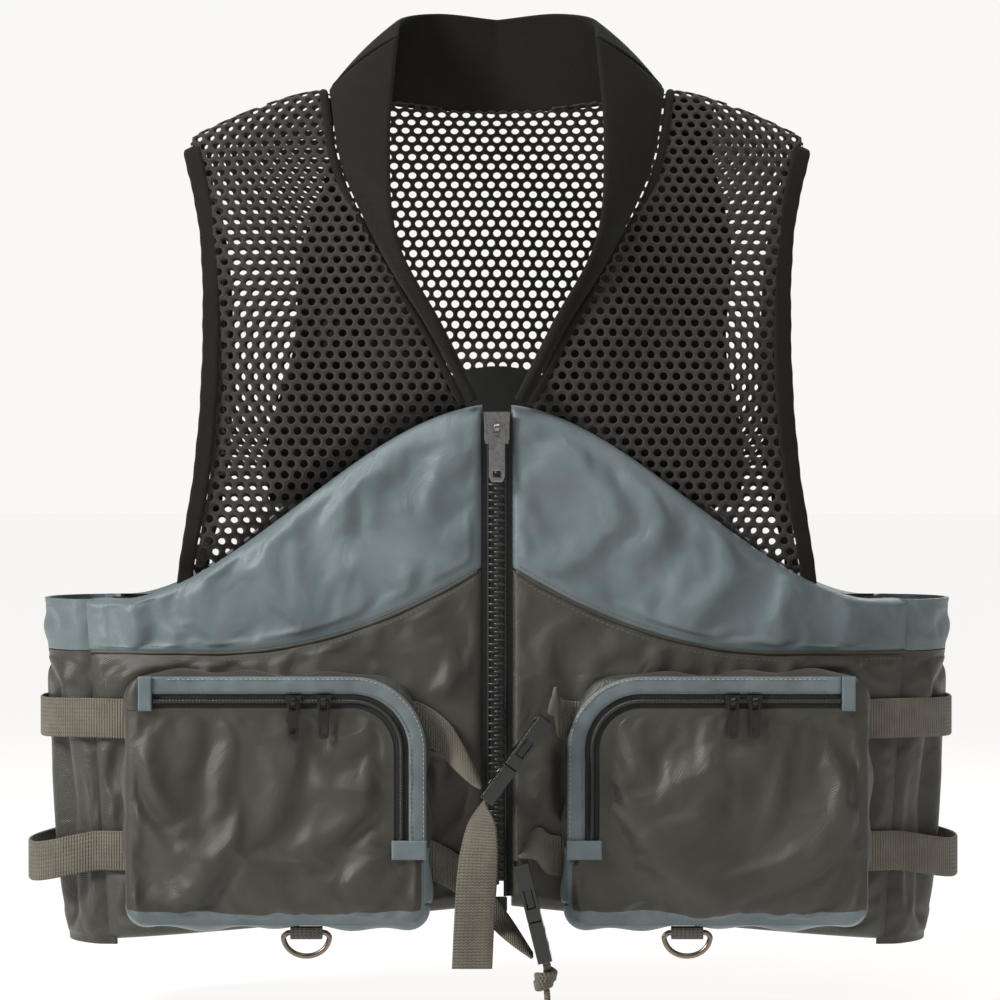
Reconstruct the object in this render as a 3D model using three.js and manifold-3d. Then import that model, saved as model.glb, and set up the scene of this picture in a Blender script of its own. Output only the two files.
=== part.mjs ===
// A foam fishing vest with a mesh top, hanging zipped and buckled from its shoulders.
// Millimetres. +X is the wearer's left, the front faces -Y and +Z is up. The origin is where a hanger
// carries the shoulders: on the centre plane, level with the shoulder seams.
// Pieces named left and right are the wearer's.
import * as THREE from 'three';
import { mergeVertices } from 'three/addons/utils/BufferGeometryUtils.js';
import Module from 'manifold-3d';

const wasm = await Module();
wasm.setup();

// ---- Driving dimensions ----
const gap = 0.4;                  // between flat pieces that touch
const seamGap = 1.6;              // between bent pieces sewn edge to edge
const shoulderGap = 1.2;          // from the front and back mesh to the shoulder seam's plane

// Torso, measured flat over the front
const bodyHalfWidth = 293;        // centre to side at the underarm
const hemTaper = 16;              // how much narrower each side is at the hem
const bodyHalfDepth = 88;         // shoulder line to the front, and to the back
const planPower = 2.6;            // squareness of the torso in plan
const seamShare = 0.9;            // where the side seams lie across the half width
const chestZ = -199;              // top of the foam at the front zip
const backChestZ = -172;          // top of the foam at the middle of the back
const underarmZ = -323;           // top of the side panels
const bandSeamZ = -296;           // lower seam of the blue band at the zip
const bandSeamDrop = 60;          // its fall towards the sides
const hemZ = -514;                // hem at the zip
const hemDrop = 29;               // its fall at the sides

// Shoulders, neck and armholes
const neckSideX = 115;
const neckSideZ = 5;
const neckBottomX = 24;
const backNeckZ = -12;
const shoulderTipX = 205;
const shoulderTipZ = -29;
const armholeX = 187;             // the armhole at its narrowest across the chest
const armholeBottomX = 203;
const collarTopZ = 52;
const collarTopX = 64;

// Thicknesses
const shellCloth = 1.5;
const foamThickness = 25;
const layerGap = 2.2;             // between the foam and the cloths each side of it
const sideCloth = 3;
const meshCloth = 1.4;
const knitCloth = 3.4;
const bindingWidth = 12;
const bindingThickness = 3.6;
const pipingWidth = 5;
const foamMargin = 6;             // foam edge to cover edge

// Centre zip
const zipOpening = 9;             // centre to the cover's folded edge
const tapeEdge = 18;              // centre to the sewn edge of the tape
const tapeThickness = 1;
const toothPitch = 5;
const toothHeight = 2;
const toothReach = 1.6;           // how far a tooth passes the centre line
const toothRoot = 3.2;
const toothBack = 5.5;
const toothProud = 1.5;           // teeth in front of the covers
const toothDepth = 5;

// Pockets
const pocketInnerX = 44;
const pocketWidth = 188;
const pocketTop = 145;            // pocket top above the hem at the zip
const pocketHeight = 156;
const pocketDepth = 18;           // pocket front before the torso at the zip
const pocketCorner = 46;          // the large round corner next to the zip
const pocketSmallCorner = 14;
const pocketCloth = 2;
const trimWidth = 11;
const pocketZipWidth = 8;
const pocketZipDrop = 63;         // how far the zip runs down past the round corner
const trimStart = 16;             // start of the zip from the pocket's outer edge

// Webbing and buckles
const webbing = 25.4;
const webbingThickness = 1.6;
const upperStrapHeight = 116;     // straps above the hem at the zip
const lowerStrapHeight = 32;
const buckleCheek = 3.8;          // buckle beyond each edge of the webbing
const strapLift = 0.04;           // share of its width that webbing stands off the curved covers
const turnRoom = 0.14;            // share of its width that webbing needs to turn before a buckle
const buckleThickness = 9;
const socketLength = 36;
const plugLength = 26;
const wall = 1.8;
const buckleStandoff = 15.5;      // buckle side before the torso at the zip

// Rings
const ringWire = 3.4;
const ringWidth = 32;
const ringHeight = 18;
const ringX = 119;
const ringTabWidth = 20;

// ---- Worked out from them ----
const pocketOuterX = pocketInnerX + pocketWidth;
const pocketTopZ = hemZ + pocketTop;
const pocketBottomZ = pocketTopZ - pocketHeight;
const pocketFrontY = -(bodyHalfDepth + pocketDepth);
const foamDepth = shellCloth + layerGap;
const liningDepth = foamDepth + foamThickness + layerGap;
const buckleWidth = webbing + 2 * buckleCheek;
const buckleY = -(bodyHalfDepth + buckleStandoff + buckleWidth / 2);

// ---- Finishes ----
const finish = (color, roughness, metalness = 0) => () =>
  new THREE.MeshStandardMaterial({ color, roughness, metalness });
const blueNylon = finish('#66798a', 0.6);
const greyNylon = finish('#4f4c44', 0.62);
const blackKnit = finish('#231f1d', 0.9);
const brownMesh = finish('#33291f', 0.9);
const webbingCloth = finish('#6b6258', 0.85);
const foam = finish('#cfcbbd', 0.95);
const lining = finish('#3a3934', 0.8);
const blackPlastic = finish('#15130f', 0.35);
const gunmetal = finish('#77736c', 0.35, 0.9);

// ---- Small tools ----
const mix = (a, b, t) => a + (b - a) * t;
const clamp01 = (t) => Math.min(1, Math.max(0, t));
const smooth = (t) => clamp01(t) ** 2 * (3 - 2 * clamp01(t));
const vec = (x, y, z) => new THREE.Vector3(x, y, z);

const vest = new THREE.Group();

function add(parent, name, geometry, material) {
  const mesh = new THREE.Mesh(geometry, material());
  mesh.name = name;
  parent.add(mesh);
  return mesh;
}

// Turns every face outward, which a mirrored or a bent solid may need.
function facingOut(geometry) {
  const at = geometry.attributes.position;
  const index = geometry.index ?? { count: at.count, getX: (i) => i };
  const corner = (i) => new THREE.Vector3().fromBufferAttribute(at, index.getX(i));
  let volume = 0;
  for (let i = 0; i < index.count; i += 3) {
    volume += corner(i).dot(corner(i + 1).cross(corner(i + 2)));
  }
  const order = [...Array(index.count).keys()].map((i) => index.getX(i));
  if (volume < 0) {
    for (let i = 0; i < order.length; i += 3) {
      [order[i + 1], order[i + 2]] = [order[i + 2], order[i + 1]];
    }
  }
  geometry.setIndex(order);
  geometry.computeVertexNormals();
  return geometry;
}

// Moves every corner of a solid to the point that place gives for it.
function bent(geometry, place) {
  const at = geometry.attributes.position;
  for (let i = 0; i < at.count; i++) {
    const p = place(at.getX(i), at.getY(i), at.getZ(i));
    at.setXYZ(i, p.x, p.y, p.z);
  }
  return facingOut(geometry);
}

const mirrored = (geometry) => bent(geometry.clone(), (x, y, z) => vec(-x, y, z));

// A piece on the wearer's left, and its mirror image on the right.
function addPair(parent, name, geometry, material) {
  add(parent, `${name}_left`, geometry, material);
  add(parent, `${name}_right`, mirrored(geometry), material);
}

// A sheet on surface(u, v), from near to far along the surface's normal. turn sets the normal's way.
function sheet(across, along, surface, near, far, turn = 1) {
  const step = 1e-3;
  return bent(new THREE.BoxGeometry(1, 1, 1, across, along, 1), (x, y, z) => {
    const [u, v, w] = [x + 0.5, y + 0.5, z + 0.5];
    const [u0, u1] = [Math.max(0, u - step), Math.min(1, u + step)];
    const [v0, v1] = [Math.max(0, v - step), Math.min(1, v + step)];
    const du = surface(u1, v).sub(surface(u0, v));
    const dv = surface(u, v1).sub(surface(u, v0));
    const normal = du.cross(dv).normalize().multiplyScalar(turn);
    return surface(u, v).addScaledVector(normal, mix(near, far, w));
  });
}

// An outline drawn in x and z, extruded from frontY back by thickness.
function plate(shape, frontY, thickness, curveSegments = 5) {
  const geometry = new THREE.ExtrudeGeometry(shape, { depth: thickness, bevelEnabled: false, curveSegments });
  geometry.rotateX(Math.PI / 2);
  geometry.translate(0, frontY + thickness, 0);
  return geometry;
}

const box = (sx, sy, sz, x, y, z) => new THREE.BoxGeometry(sx, sy, sz).translate(x, y, z);

function toSolid(geometry) {
  const bare = geometry.clone();
  bare.deleteAttribute('normal');
  bare.deleteAttribute('uv');
  const merged = mergeVertices(bare);
  return new wasm.Manifold(new wasm.Mesh({
    numProp: 3,
    vertProperties: new Float32Array(merged.attributes.position.array),
    triVerts: new Uint32Array(merged.index.array),
  }));
}

function fromSolid(solid) {
  const { vertProperties, triVerts } = solid.getMesh();
  const geometry = new THREE.BufferGeometry();
  geometry.setAttribute('position', new THREE.BufferAttribute(vertProperties, 3));
  geometry.setIndex(new THREE.BufferAttribute(triVerts, 1));
  geometry.computeVertexNormals();
  return geometry;
}

const joined = (...parts) => fromSolid(parts.map(toSolid).reduce((a, b) => a.add(b)));
const cut = (whole, ...holes) => fromSolid(holes.map(toSolid).reduce((a, b) => a.subtract(b), toSolid(whole)));

// ---- The torso's surface ----
const fall = (x) => smooth(Math.abs(x) / (0.85 * bodyHalfWidth));
const frontTopZ = (x) => mix(chestZ, underarmZ, fall(x));
const backTopZ = (x) => mix(backChestZ, underarmZ, fall(x));
const hemLine = (x) => hemZ - hemDrop * Math.abs(x) / bodyHalfWidth;
const seamLine = (x) => bandSeamZ - bandSeamDrop * (1 - (1 - clamp01(Math.abs(x) / (0.62 * bodyHalfWidth))) ** 2);
const sideSeamX = seamShare * bodyHalfWidth;

function shoulderLine(x) {
  const t = (Math.abs(x) - neckSideX) / (shoulderTipX - neckSideX);
  return t < 0 ? neckSideZ : neckSideZ + (shoulderTipZ - neckSideZ) * t ** 1.4;
}

function halfWidth(z) {
  return bodyHalfWidth - hemTaper * clamp01((underarmZ - z) / (underarmZ - hemZ + hemDrop));
}

// Distance of the torso's surface before (or behind) the shoulder line.
function depthAt(x, z, topZ, fullness) {
  const share = Math.min(1, Math.abs(x) / halfWidth(z));
  const rise = clamp01((z - topZ) / (shoulderLine(x) - topZ));
  const plan = (1 - share ** planPower) ** (1 / planPower);
  return shoulderGap + bodyHalfDepth * plan * (1 - rise ** fullness) ** 0.72;
}

const frontAt = (x, z) => vec(x, -depthAt(x, z, frontTopZ(x), 1.7), z);
const backAt = (x, z) => vec(x, depthAt(x, z, backTopZ(x), 2.1), z);

// Round the side, from the front side seam at a = 0 to the back one at a = 1.
function sideAt(a, z) {
  const seamAngle = Math.acos(seamShare ** (planPower / 2));
  const angle = mix(-seamAngle, seamAngle, a);
  const round = 2 / planPower;
  const y = (bodyHalfDepth + shoulderGap) * Math.abs(Math.sin(angle)) ** round;
  return vec(halfWidth(z) * Math.cos(angle) ** round, Math.sign(angle) * y, z);
}

// From the zip (t = 0) over the side seams (1 and 2) to the middle of the back (3).
function aroundAt(t, z) {
  const seamX = seamShare * halfWidth(z);
  if (t <= 1) return frontAt(mix(0, seamX, t), z);
  if (t < 2) return sideAt(t - 1, z);
  return backAt(mix(seamX, 0, t - 2), z);
}

// A front or back panel's surface between two columns and two lines.
function panelSurface(at, fromX, toX, lowLine, highLine, inset = 0) {
  return (u, v) => {
    const x = mix(fromX, toX, u);
    const z = mix(lowLine(x) + inset, highLine(x) - inset, v);
    return at(x * (1 - (1 - halfWidth(z) / bodyHalfWidth) * Math.abs(x) / sideSeamX), z);
  };
}

// ---- Front: shell cloth, foam slab and lining each side of the zip ----
const frontEnd = sideSeamX - gap;
const aboveSeam = (x) => seamLine(x) + gap;
const bandFront = (u, v) => {
  const t = u * 2;
  const x = t <= 1 ? mix(zipOpening, bodyHalfWidth * seamShare, t) : bodyHalfWidth;
  const z = mix(aboveSeam(x), frontTopZ(x), v);
  if (t > 1) return sideAt(t - 1, z);
  return frontAt(Math.min(x, seamShare * halfWidth(z)), z);
};
const coverSheet = (lowLine, near, far) =>
  sheet(12, 6, panelSurface(frontAt, zipOpening, frontEnd, lowLine, seamLine), near, far);
addPair(vest, 'front_cover', coverSheet(hemLine, -shellCloth, 0), greyNylon);
addPair(vest, 'yoke_band', sheet(26, 3, bandFront, -shellCloth, 0), blueNylon);
addPair(vest, 'front_foam',
  sheet(8, 7, panelSurface(frontAt, tapeEdge + 1, frontEnd - foamMargin, hemLine, frontTopZ, foamMargin),
    -foamDepth - foamThickness, -foamDepth), foam);
addPair(vest, 'front_lining',
  sheet(8, 7, panelSurface(frontAt, tapeEdge + 1, frontEnd, hemLine, frontTopZ),
    -liningDepth - shellCloth, -liningDepth), lining);

// ---- Sides: two cloths without foam, so that the vest folds there ----
const sideSurface = (u, v) => sideAt(mix(0.02, 0.98, u), mix(hemZ - hemDrop, seamLine(bodyHalfWidth), v));
addPair(vest, 'side_panel', sheet(8, 5, sideSurface, -sideCloth, 0), greyNylon);

// ---- Back ----
const backSpan = (low, high, inset = 0, reach = frontEnd) => panelSurface(backAt, -reach, reach, low, high, inset);
const backSeam = () => seamLine(bodyHalfWidth);
const aboveBackSeam = () => backSeam() + gap;
add(vest, 'back_cover', sheet(18, 5, backSpan(hemLine, backSeam), -shellCloth, 0, -1), greyNylon);
add(vest, 'back_band', sheet(26, 5, backSpan(aboveBackSeam, backTopZ), -shellCloth, 0, -1), blueNylon);
add(vest, 'back_foam', sheet(16, 8, backSpan(hemLine, backTopZ, foamMargin, frontEnd - foamMargin),
  -foamDepth - foamThickness, -foamDepth, -1), foam);
add(vest, 'back_lining', sheet(16, 8, backSpan(hemLine, backTopZ),
  -liningDepth - shellCloth, -liningDepth, -1), lining);

// ---- Mesh top ----
// Neck and armhole lines in x and z, from the foam (0) to the shoulder (1).
const throughPoints = (...points) => new THREE.CatmullRomCurve3(points.map(([x, z]) => vec(x, 0, z)));
const neckLine = throughPoints(
  [neckBottomX, chestZ], [neckBottomX + 26, mix(chestZ, neckSideZ, 0.24)],
  [mix(neckBottomX, neckSideX, 0.6), mix(chestZ, neckSideZ, 0.47)],
  [neckSideX - 10, mix(chestZ, neckSideZ, 0.74)], [neckSideX, neckSideZ]);
function armholeLine(topLine) {
  const low = topLine(armholeBottomX);
  return throughPoints([armholeBottomX, low], [mix(armholeX, armholeBottomX, 0.25), mix(low, shoulderTipZ, 0.27)],
    [armholeX, mix(low, shoulderTipZ, 0.55)], [armholeX + 4, mix(low, shoulderTipZ, 0.8)],
    [shoulderTipX, shoulderTipZ]);
}
// A point on an armhole, or that far inside it, kept on the foam's top line and on the shoulder line.
function armholePoint(topLine, inset, v) {
  const edge = armholeLine(topLine).getPoint(v);
  const x = edge.x - inset;
  const onTopLine = (1 - v) ** 6 * (topLine(x) - topLine(edge.x) + seamGap);
  const onShoulder = v ** 6 * (shoulderLine(x) - shoulderLine(edge.x));
  return vec(x, 0, edge.z + onTopLine + onShoulder);
}

// Fills a patch between four lines (bottom and top over u, left and right over v).
function patch(at, bottom, top, left, right) {
  return (u, v) => {
    const along = bottom(u).multiplyScalar(1 - v).add(top(u).multiplyScalar(v));
    const up = left(v).multiplyScalar(1 - u).add(right(v).multiplyScalar(u));
    const low = bottom(0).multiplyScalar(1 - u).add(bottom(1).multiplyScalar(u)).multiplyScalar(1 - v);
    const high = top(0).multiplyScalar(1 - u).add(top(1).multiplyScalar(u)).multiplyScalar(v);
    const p = along.add(up).sub(low).sub(high);
    return at(p.x, p.z);
  };
}

const meshInset = bindingWidth + seamGap;
const onLine = (line, x, lift = 0) => vec(x, 0, line(x) + lift);
const neckEdge = (v) => {
  const p = neckLine.getPoint(v).add(vec(seamGap, 0, 0));
  return p.add(vec(0, 0, (1 - v) ** 6 * (frontTopZ(p.x) + seamGap - p.z)));
};
const frontMesh = patch(frontAt,
  (u) => onLine(frontTopZ, mix(neckEdge(0).x, armholeBottomX - meshInset, u), seamGap),
  (u) => onLine(shoulderLine, mix(neckEdge(1).x, shoulderTipX - meshInset, u)),
  neckEdge,
  (v) => armholePoint(frontTopZ, meshInset, v));
addPair(vest, 'front_mesh', sheet(10, 10, frontMesh, -meshCloth, 0), brownMesh);

function backNeckLine(x) {
  const t = Math.min(1, Math.abs(x) / neckSideX);
  return Math.abs(x) > neckSideX ? shoulderLine(x) : mix(backNeckZ, neckSideZ, t ** 2);
}
const backEdge = (side, v) => armholePoint(backTopZ, meshInset, v).multiply(vec(side, 1, 1));
const backMesh = patch(backAt,
  (u) => onLine(backTopZ, mix(-1, 1, u) * (armholeBottomX - meshInset), seamGap),
  (u) => onLine(backNeckLine, mix(-1, 1, u) * (shoulderTipX - meshInset)),
  (v) => backEdge(-1, v),
  (v) => backEdge(1, v));
add(vest, 'back_mesh', sheet(20, 10, backMesh, -meshCloth, 0, -1), brownMesh);

// ---- Armhole bindings: folded over the mesh edge, from the front foam over the shoulder to the back ----
function armholeSurface(u, v) {
  const front = v < 0.5;
  const rise = front ? v * 2 : 2 - v * 2;
  const p = armholePoint(front ? frontTopZ : backTopZ, mix(bindingWidth, 0, u), rise);
  return front ? frontAt(p.x, p.z) : backAt(p.x, p.z);
}
addPair(vest, 'armhole_binding',
  sheet(2, 26, armholeSurface, meshCloth / 2 - bindingThickness, meshCloth / 2), blackKnit);

// ---- Neck: piping on the seam, a facing down each side of the V and the standing collar ----
const pipingSurface = (u, v) => {
  const p = neckLine.getPoint(v);
  return frontAt(p.x - mix(pipingWidth, 0, u), p.z);
};
addPair(vest, 'neck_piping',
  sheet(1, 12, pipingSurface, meshCloth / 2 - knitCloth, meshCloth / 2), blackKnit);

const facingOuter = (v) => {
  const p = neckLine.getPoint(v);
  return frontAt(p.x - pipingWidth - seamGap, p.z);
};
const collarFront = vec(collarTopX, -14, collarTopZ - 14);
const facingInner = new THREE.CatmullRomCurve3([
  vec(zipOpening + 2, -bodyHalfDepth + 1, chestZ + 3),
  vec(neckBottomX + 10, -bodyHalfDepth, mix(chestZ, neckSideZ, 0.24)),
  vec(collarTopX - 2, -bodyHalfDepth + 6, mix(chestZ, neckSideZ, 0.5)),
  vec(collarTopX + 4, -0.6 * bodyHalfDepth, mix(chestZ, neckSideZ, 0.82)),
  collarFront]);
const facingSurface = (u, v) => facingInner.getPoint(v).lerp(facingOuter(v), u);
addPair(vest, 'neck_facing', sheet(3, 12, facingSurface, -knitCloth / 2, knitCloth / 2), blackKnit);

const collarBase = new THREE.CatmullRomCurve3([
  facingOuter(1), backAt(neckSideX - 8, neckSideZ - 1), backAt(0.6 * neckSideX, backNeckLine(0.6 * neckSideX) + 1),
  backAt(0, backNeckZ + 2)]);
const collarRim = new THREE.CatmullRomCurve3([
  collarFront, vec(collarTopX - 3, 6, collarTopZ - 5), vec(0.62 * collarTopX, 26, collarTopZ - 1),
  vec(0, 34, collarTopZ)]);
function collarSurface(u, v) {
  const side = v < 0.5 ? 1 : -1;
  const s = mix(0.08, 1, 1 - Math.abs(2 * v - 1));
  const p = collarRim.getPoint(s).lerp(collarBase.getPoint(s), mix(0, 0.97, u));
  return vec(side * p.x, p.y, p.z);
}
add(vest, 'collar', sheet(3, 24, collarSurface, -knitCloth / 2, knitCloth / 2), blackKnit);

// ---- Centre zip: moulded teeth on a woven tape, each half one piece ----
const zipTop = chestZ - 6;
const zipBottom = hemZ + 6;
const teethFrontY = -bodyHalfDepth - toothProud;
function combShape(offset) {
  const shape = new THREE.Shape().moveTo(toothBack, zipBottom);
  shape.lineTo(toothBack, zipTop);
  shape.lineTo(toothRoot, zipTop);
  const count = Math.floor((zipTop - zipBottom - toothPitch) / toothPitch);
  for (let i = 0; i < count; i++) {
    const z = zipTop - 1 - offset - i * toothPitch;
    shape.lineTo(toothRoot, z);
    shape.lineTo(-toothReach, z - 0.2 * toothHeight);
    shape.lineTo(-toothReach, z - 0.8 * toothHeight);
    shape.lineTo(toothRoot, z - toothHeight);
  }
  shape.lineTo(toothRoot, zipBottom);
  return shape;
}
function zipHalf(offset) {
  const tapeY = -bodyHalfDepth + shellCloth + gap + tapeThickness / 2;
  const height = zipTop - zipBottom;
  const tape = box(tapeEdge - toothRoot - 1, tapeThickness, height,
    (tapeEdge + toothRoot + 1) / 2, tapeY, zipBottom + height / 2);
  return joined(tape, plate(combShape(offset), teethFrontY, toothDepth));
}
add(vest, 'zip_half_left', zipHalf(0), blackPlastic);
add(vest, 'zip_half_right', mirrored(zipHalf(toothPitch / 2)), blackPlastic);
const zipBoxHeight = 9;
add(vest, 'zip_box', box(2 * toothBack + 2, toothDepth, zipBoxHeight,
  0, teethFrontY + toothDepth / 2, zipBottom - gap - zipBoxHeight / 2), blackPlastic);

// ---- Sliders: a plate before the teeth with a crown, and a pull whose top bar turns in the crown ----
const crownWidth = 3;
const crownHole = 1.8;
const crownWall = 1.3;
const barHalf = 1;
const pullThickness = 1.5;

function ringPart(radiusOut, radiusIn, width) {
  const shape = new THREE.Shape().absarc(0, 0, radiusOut, 0, 2 * Math.PI);
  shape.holes.push(new THREE.Path().absarc(0, 0, radiusIn, 0, 2 * Math.PI, true));
  const geometry = new THREE.ExtrudeGeometry(shape, { depth: width, bevelEnabled: false, curveSegments: 8 });
  return geometry.rotateY(Math.PI / 2).translate(-width / 2, 0, 0);
}

// The slider's own origin is its crown's centre; its plate's back is before the teeth.
const plateThickness = 2.4;
const crownCentreY = -(plateThickness + crownHole - 0.3);
function sliderGeometry(width, height, flangeDepth) {
  const shape = new THREE.Shape().moveTo(-width / 2, height / 2);
  shape.lineTo(width / 2, height / 2);
  shape.lineTo(width / 2 - 1, -height / 2);
  shape.lineTo(1 - width / 2, -height / 2);
  const body = plate(shape, -plateThickness, plateThickness);
  const flanges = [-1, 1].map((side) =>
    box(1.4, flangeDepth + 1, height - 4, side * (width / 2 - 1.2), (flangeDepth - 1) / 2, 0.5));
  const crown = ringPart(crownHole + crownWall, crownHole, crownWidth).translate(0, crownCentreY, 0);
  const parts = flangeDepth > 0 ? [body, ...flanges, crown] : [body, crown];
  return joined(...parts).translate(0, -crownCentreY, 0);
}

function pullGeometry(width, length) {
  const shape = new THREE.Shape().moveTo(width / 2, barHalf);
  shape.lineTo(-width / 2, barHalf);
  shape.lineTo(-width / 2, -length + width / 3);
  shape.lineTo(-width / 3, -length);
  shape.lineTo(width / 3, -length);
  shape.lineTo(width / 2, -length + width / 3);
  const halfWindow = crownWidth / 2 + 0.6;
  const slot = (low, high, half) => new THREE.Path().moveTo(-half, high).lineTo(half, high)
    .lineTo(half, low).lineTo(-half, low);
  shape.holes.push(slot(-barHalf - 4.2, -barHalf, halfWindow));
  shape.holes.push(slot(-length + 3, -length + 7, width / 4));
  return plate(shape, -pullThickness / 2, pullThickness);
}

function addSlider(name, centre, width, height, flangeDepth, pullWidth, pullLength) {
  const carrier = new THREE.Group();
  carrier.position.copy(centre).add(vec(0, crownCentreY, 0));
  add(carrier, `${name}_slider`, sliderGeometry(width, height, flangeDepth), gunmetal);
  add(carrier, `${name}_pull`, pullGeometry(pullWidth, pullLength), gunmetal);
  vest.add(carrier);
}
const sliderWidth = 2 * (zipOpening - 0.7);
const sliderHeight = 20;
addSlider('zip', vec(0, teethFrontY - gap, zipTop - sliderHeight / 2 + 1),
  sliderWidth, sliderHeight, toothProud + 1.2, 10, 34);

// ---- Pockets ----
const roundX = pocketInnerX + pocketCorner;
const roundZ = pocketTopZ - pocketCorner;
const stripStartX = pocketOuterX - trimStart;
const stripLowZ = roundZ - pocketZipDrop;

// A strip that follows the pocket's top edge, round corner and inner edge, between two insets.
function stripShape(inset, outset) {
  const shape = new THREE.Shape().moveTo(stripStartX, pocketTopZ - inset);
  shape.lineTo(roundX, pocketTopZ - inset);
  shape.absarc(roundX, roundZ, pocketCorner - inset, Math.PI / 2, Math.PI, false);
  shape.lineTo(pocketInnerX + inset, stripLowZ);
  shape.lineTo(pocketInnerX + outset, stripLowZ);
  shape.lineTo(pocketInnerX + outset, roundZ);
  shape.absarc(roundX, roundZ, pocketCorner - outset, Math.PI, Math.PI / 2, true);
  shape.lineTo(stripStartX, pocketTopZ - outset);
  return shape;
}
const frontInset = trimWidth + pocketZipWidth + 2 * gap;
function pocketFrontShape() {
  const r = pocketSmallCorner;
  const shape = new THREE.Shape().moveTo(pocketInnerX, stripLowZ - gap);
  shape.lineTo(pocketInnerX, pocketBottomZ + r);
  shape.absarc(pocketInnerX + r, pocketBottomZ + r, r, Math.PI, 1.5 * Math.PI, false);
  shape.absarc(pocketOuterX - r, pocketBottomZ + r, r, 1.5 * Math.PI, 2 * Math.PI, false);
  shape.absarc(pocketOuterX - r, pocketTopZ - r, r, 0, Math.PI / 2, false);
  shape.lineTo(stripStartX + gap, pocketTopZ);
  shape.lineTo(stripStartX + gap, pocketTopZ - frontInset);
  shape.lineTo(roundX, pocketTopZ - frontInset);
  shape.absarc(roundX, roundZ, pocketCorner - frontInset, Math.PI / 2, Math.PI, false);
  shape.lineTo(pocketInnerX + frontInset, stripLowZ - gap);
  return shape;
}
function roundedOutline(Kind, inset) {
  const r = pocketSmallCorner - inset;
  const [x0, x1] = [pocketInnerX + inset, pocketOuterX - inset];
  const [z0, z1] = [pocketBottomZ + inset, pocketTopZ - inset];
  const outline = new Kind();
  outline.absarc(x0 + r, z0 + r, r, Math.PI, 1.5 * Math.PI, false);
  outline.absarc(x1 - r, z0 + r, r, 1.5 * Math.PI, 2 * Math.PI, false);
  outline.absarc(x1 - r, z1 - r, r, 0, Math.PI / 2, false);
  outline.absarc(roundX, roundZ, pocketCorner - inset, Math.PI / 2, Math.PI, false);
  outline.closePath();
  return outline;
}
// The gusset is the pocket's side wall, from behind its front to the torso, slotted where the straps
// run in behind the pocket.
function gussetGeometry() {
  const shape = roundedOutline(THREE.Shape, 0);
  shape.holes.push(roundedOutline(THREE.Path, pocketCloth));
  const ring = new THREE.ExtrudeGeometry(shape, { depth: 1, bevelEnabled: false, curveSegments: 5 });
  const frontEdge = pocketFrontY + pocketCloth + gap;
  const sunk = 8;
  const wallRing = bent(ring, (x, z, t) => vec(x, mix(frontEdge, frontAt(x, z).y + sunk, t), z));
  const slotDepth = webbingThickness + 3.4;
  const slots = [upperStrapHeight, lowerStrapHeight].flatMap((height) =>
    [pocketInnerX, pocketOuterX].map((x) => {
      const surface = frontAt(x, hemZ + height).y;
      return box(pocketCorner - 10, 18, webbing + 8, x, surface + 9 - slotDepth, hemZ + height);
    }));
  const torso = coverSheet((x) => hemLine(x) - pocketSmallCorner, -4 * sunk, 2 * gap);
  return cut(wallRing, torso, ...slots);
}
const trimProud = 1;
addPair(vest, 'pocket_gusset', gussetGeometry(), greyNylon);
addPair(vest, 'pocket_front', plate(pocketFrontShape(), pocketFrontY, pocketCloth), greyNylon);
addPair(vest, 'pocket_trim', plate(stripShape(0, trimWidth), pocketFrontY - trimProud, pocketCloth + trimProud), blueNylon);
addPair(vest, 'pocket_zip',
  plate(stripShape(trimWidth + gap, trimWidth + gap + pocketZipWidth), pocketFrontY, pocketCloth), blackPlastic);

// Two sliders on each pocket zip, parked where they last met.
const pocketSliderHeight = 8;
const pocketSliderWidth = 10;
const pocketSliderZ = pocketTopZ - trimWidth - gap - pocketZipWidth / 2;
const parked = { left: [0.56, 0.45], right: [0.29, 0.14] };
const straightRun = stripStartX - roundX;
for (const [side, sign] of [['left', 1], ['right', -1]]) {
  parked[side].forEach((share, i) => {
    const x = sign * (roundX + straightRun * share);
    addSlider(`pocket_${side}_${i ? 'inner' : 'outer'}`, vec(x, pocketFrontY - gap, pocketSliderZ),
      pocketSliderWidth, pocketSliderHeight, 0, 6.4, 23);
  });
}

// ---- D-rings under the pockets, each in a folded webbing tab ----
const barZ = pocketBottomZ - gap - ringWire / 2 - 2.6;
const ringY = -(bodyHalfDepth + 9);
function ringGeometry() {
  const half = ringWidth / 2 - ringWire / 2;
  const drop = ringHeight - ringWire;
  const corner = 2.5;
  const point = (x, z) => vec(x, 0, z);
  const outline = [-1, -0.5, 0, 0.5, 1].map((share) => point(share * (half - corner), 0));
  for (let i = 0; i <= 12; i++) {
    const angle = -Math.PI * i / 12;
    outline.push(point(half * Math.cos(angle), -corner + (drop - corner) * Math.sin(angle)));
  }
  const curve = new THREE.CatmullRomCurve3(outline, true, 'centripetal');
  const wire = new THREE.Shape().absarc(0, 0, ringWire / 2, 0, 2 * Math.PI);
  // The wire's two ends meet beside the bar, with a hair of a gap between them.
  const stops = [...Array(33).keys()].map((i) => curve.getPointAt(mix(0.004, 0.996, i / 32)));
  const path = new THREE.CatmullRomCurve3(stops, false, 'centripetal');
  return new THREE.ExtrudeGeometry(wire, { steps: 32, extrudePath: path, curveSegments: 4, bevelEnabled: false });
}
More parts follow.
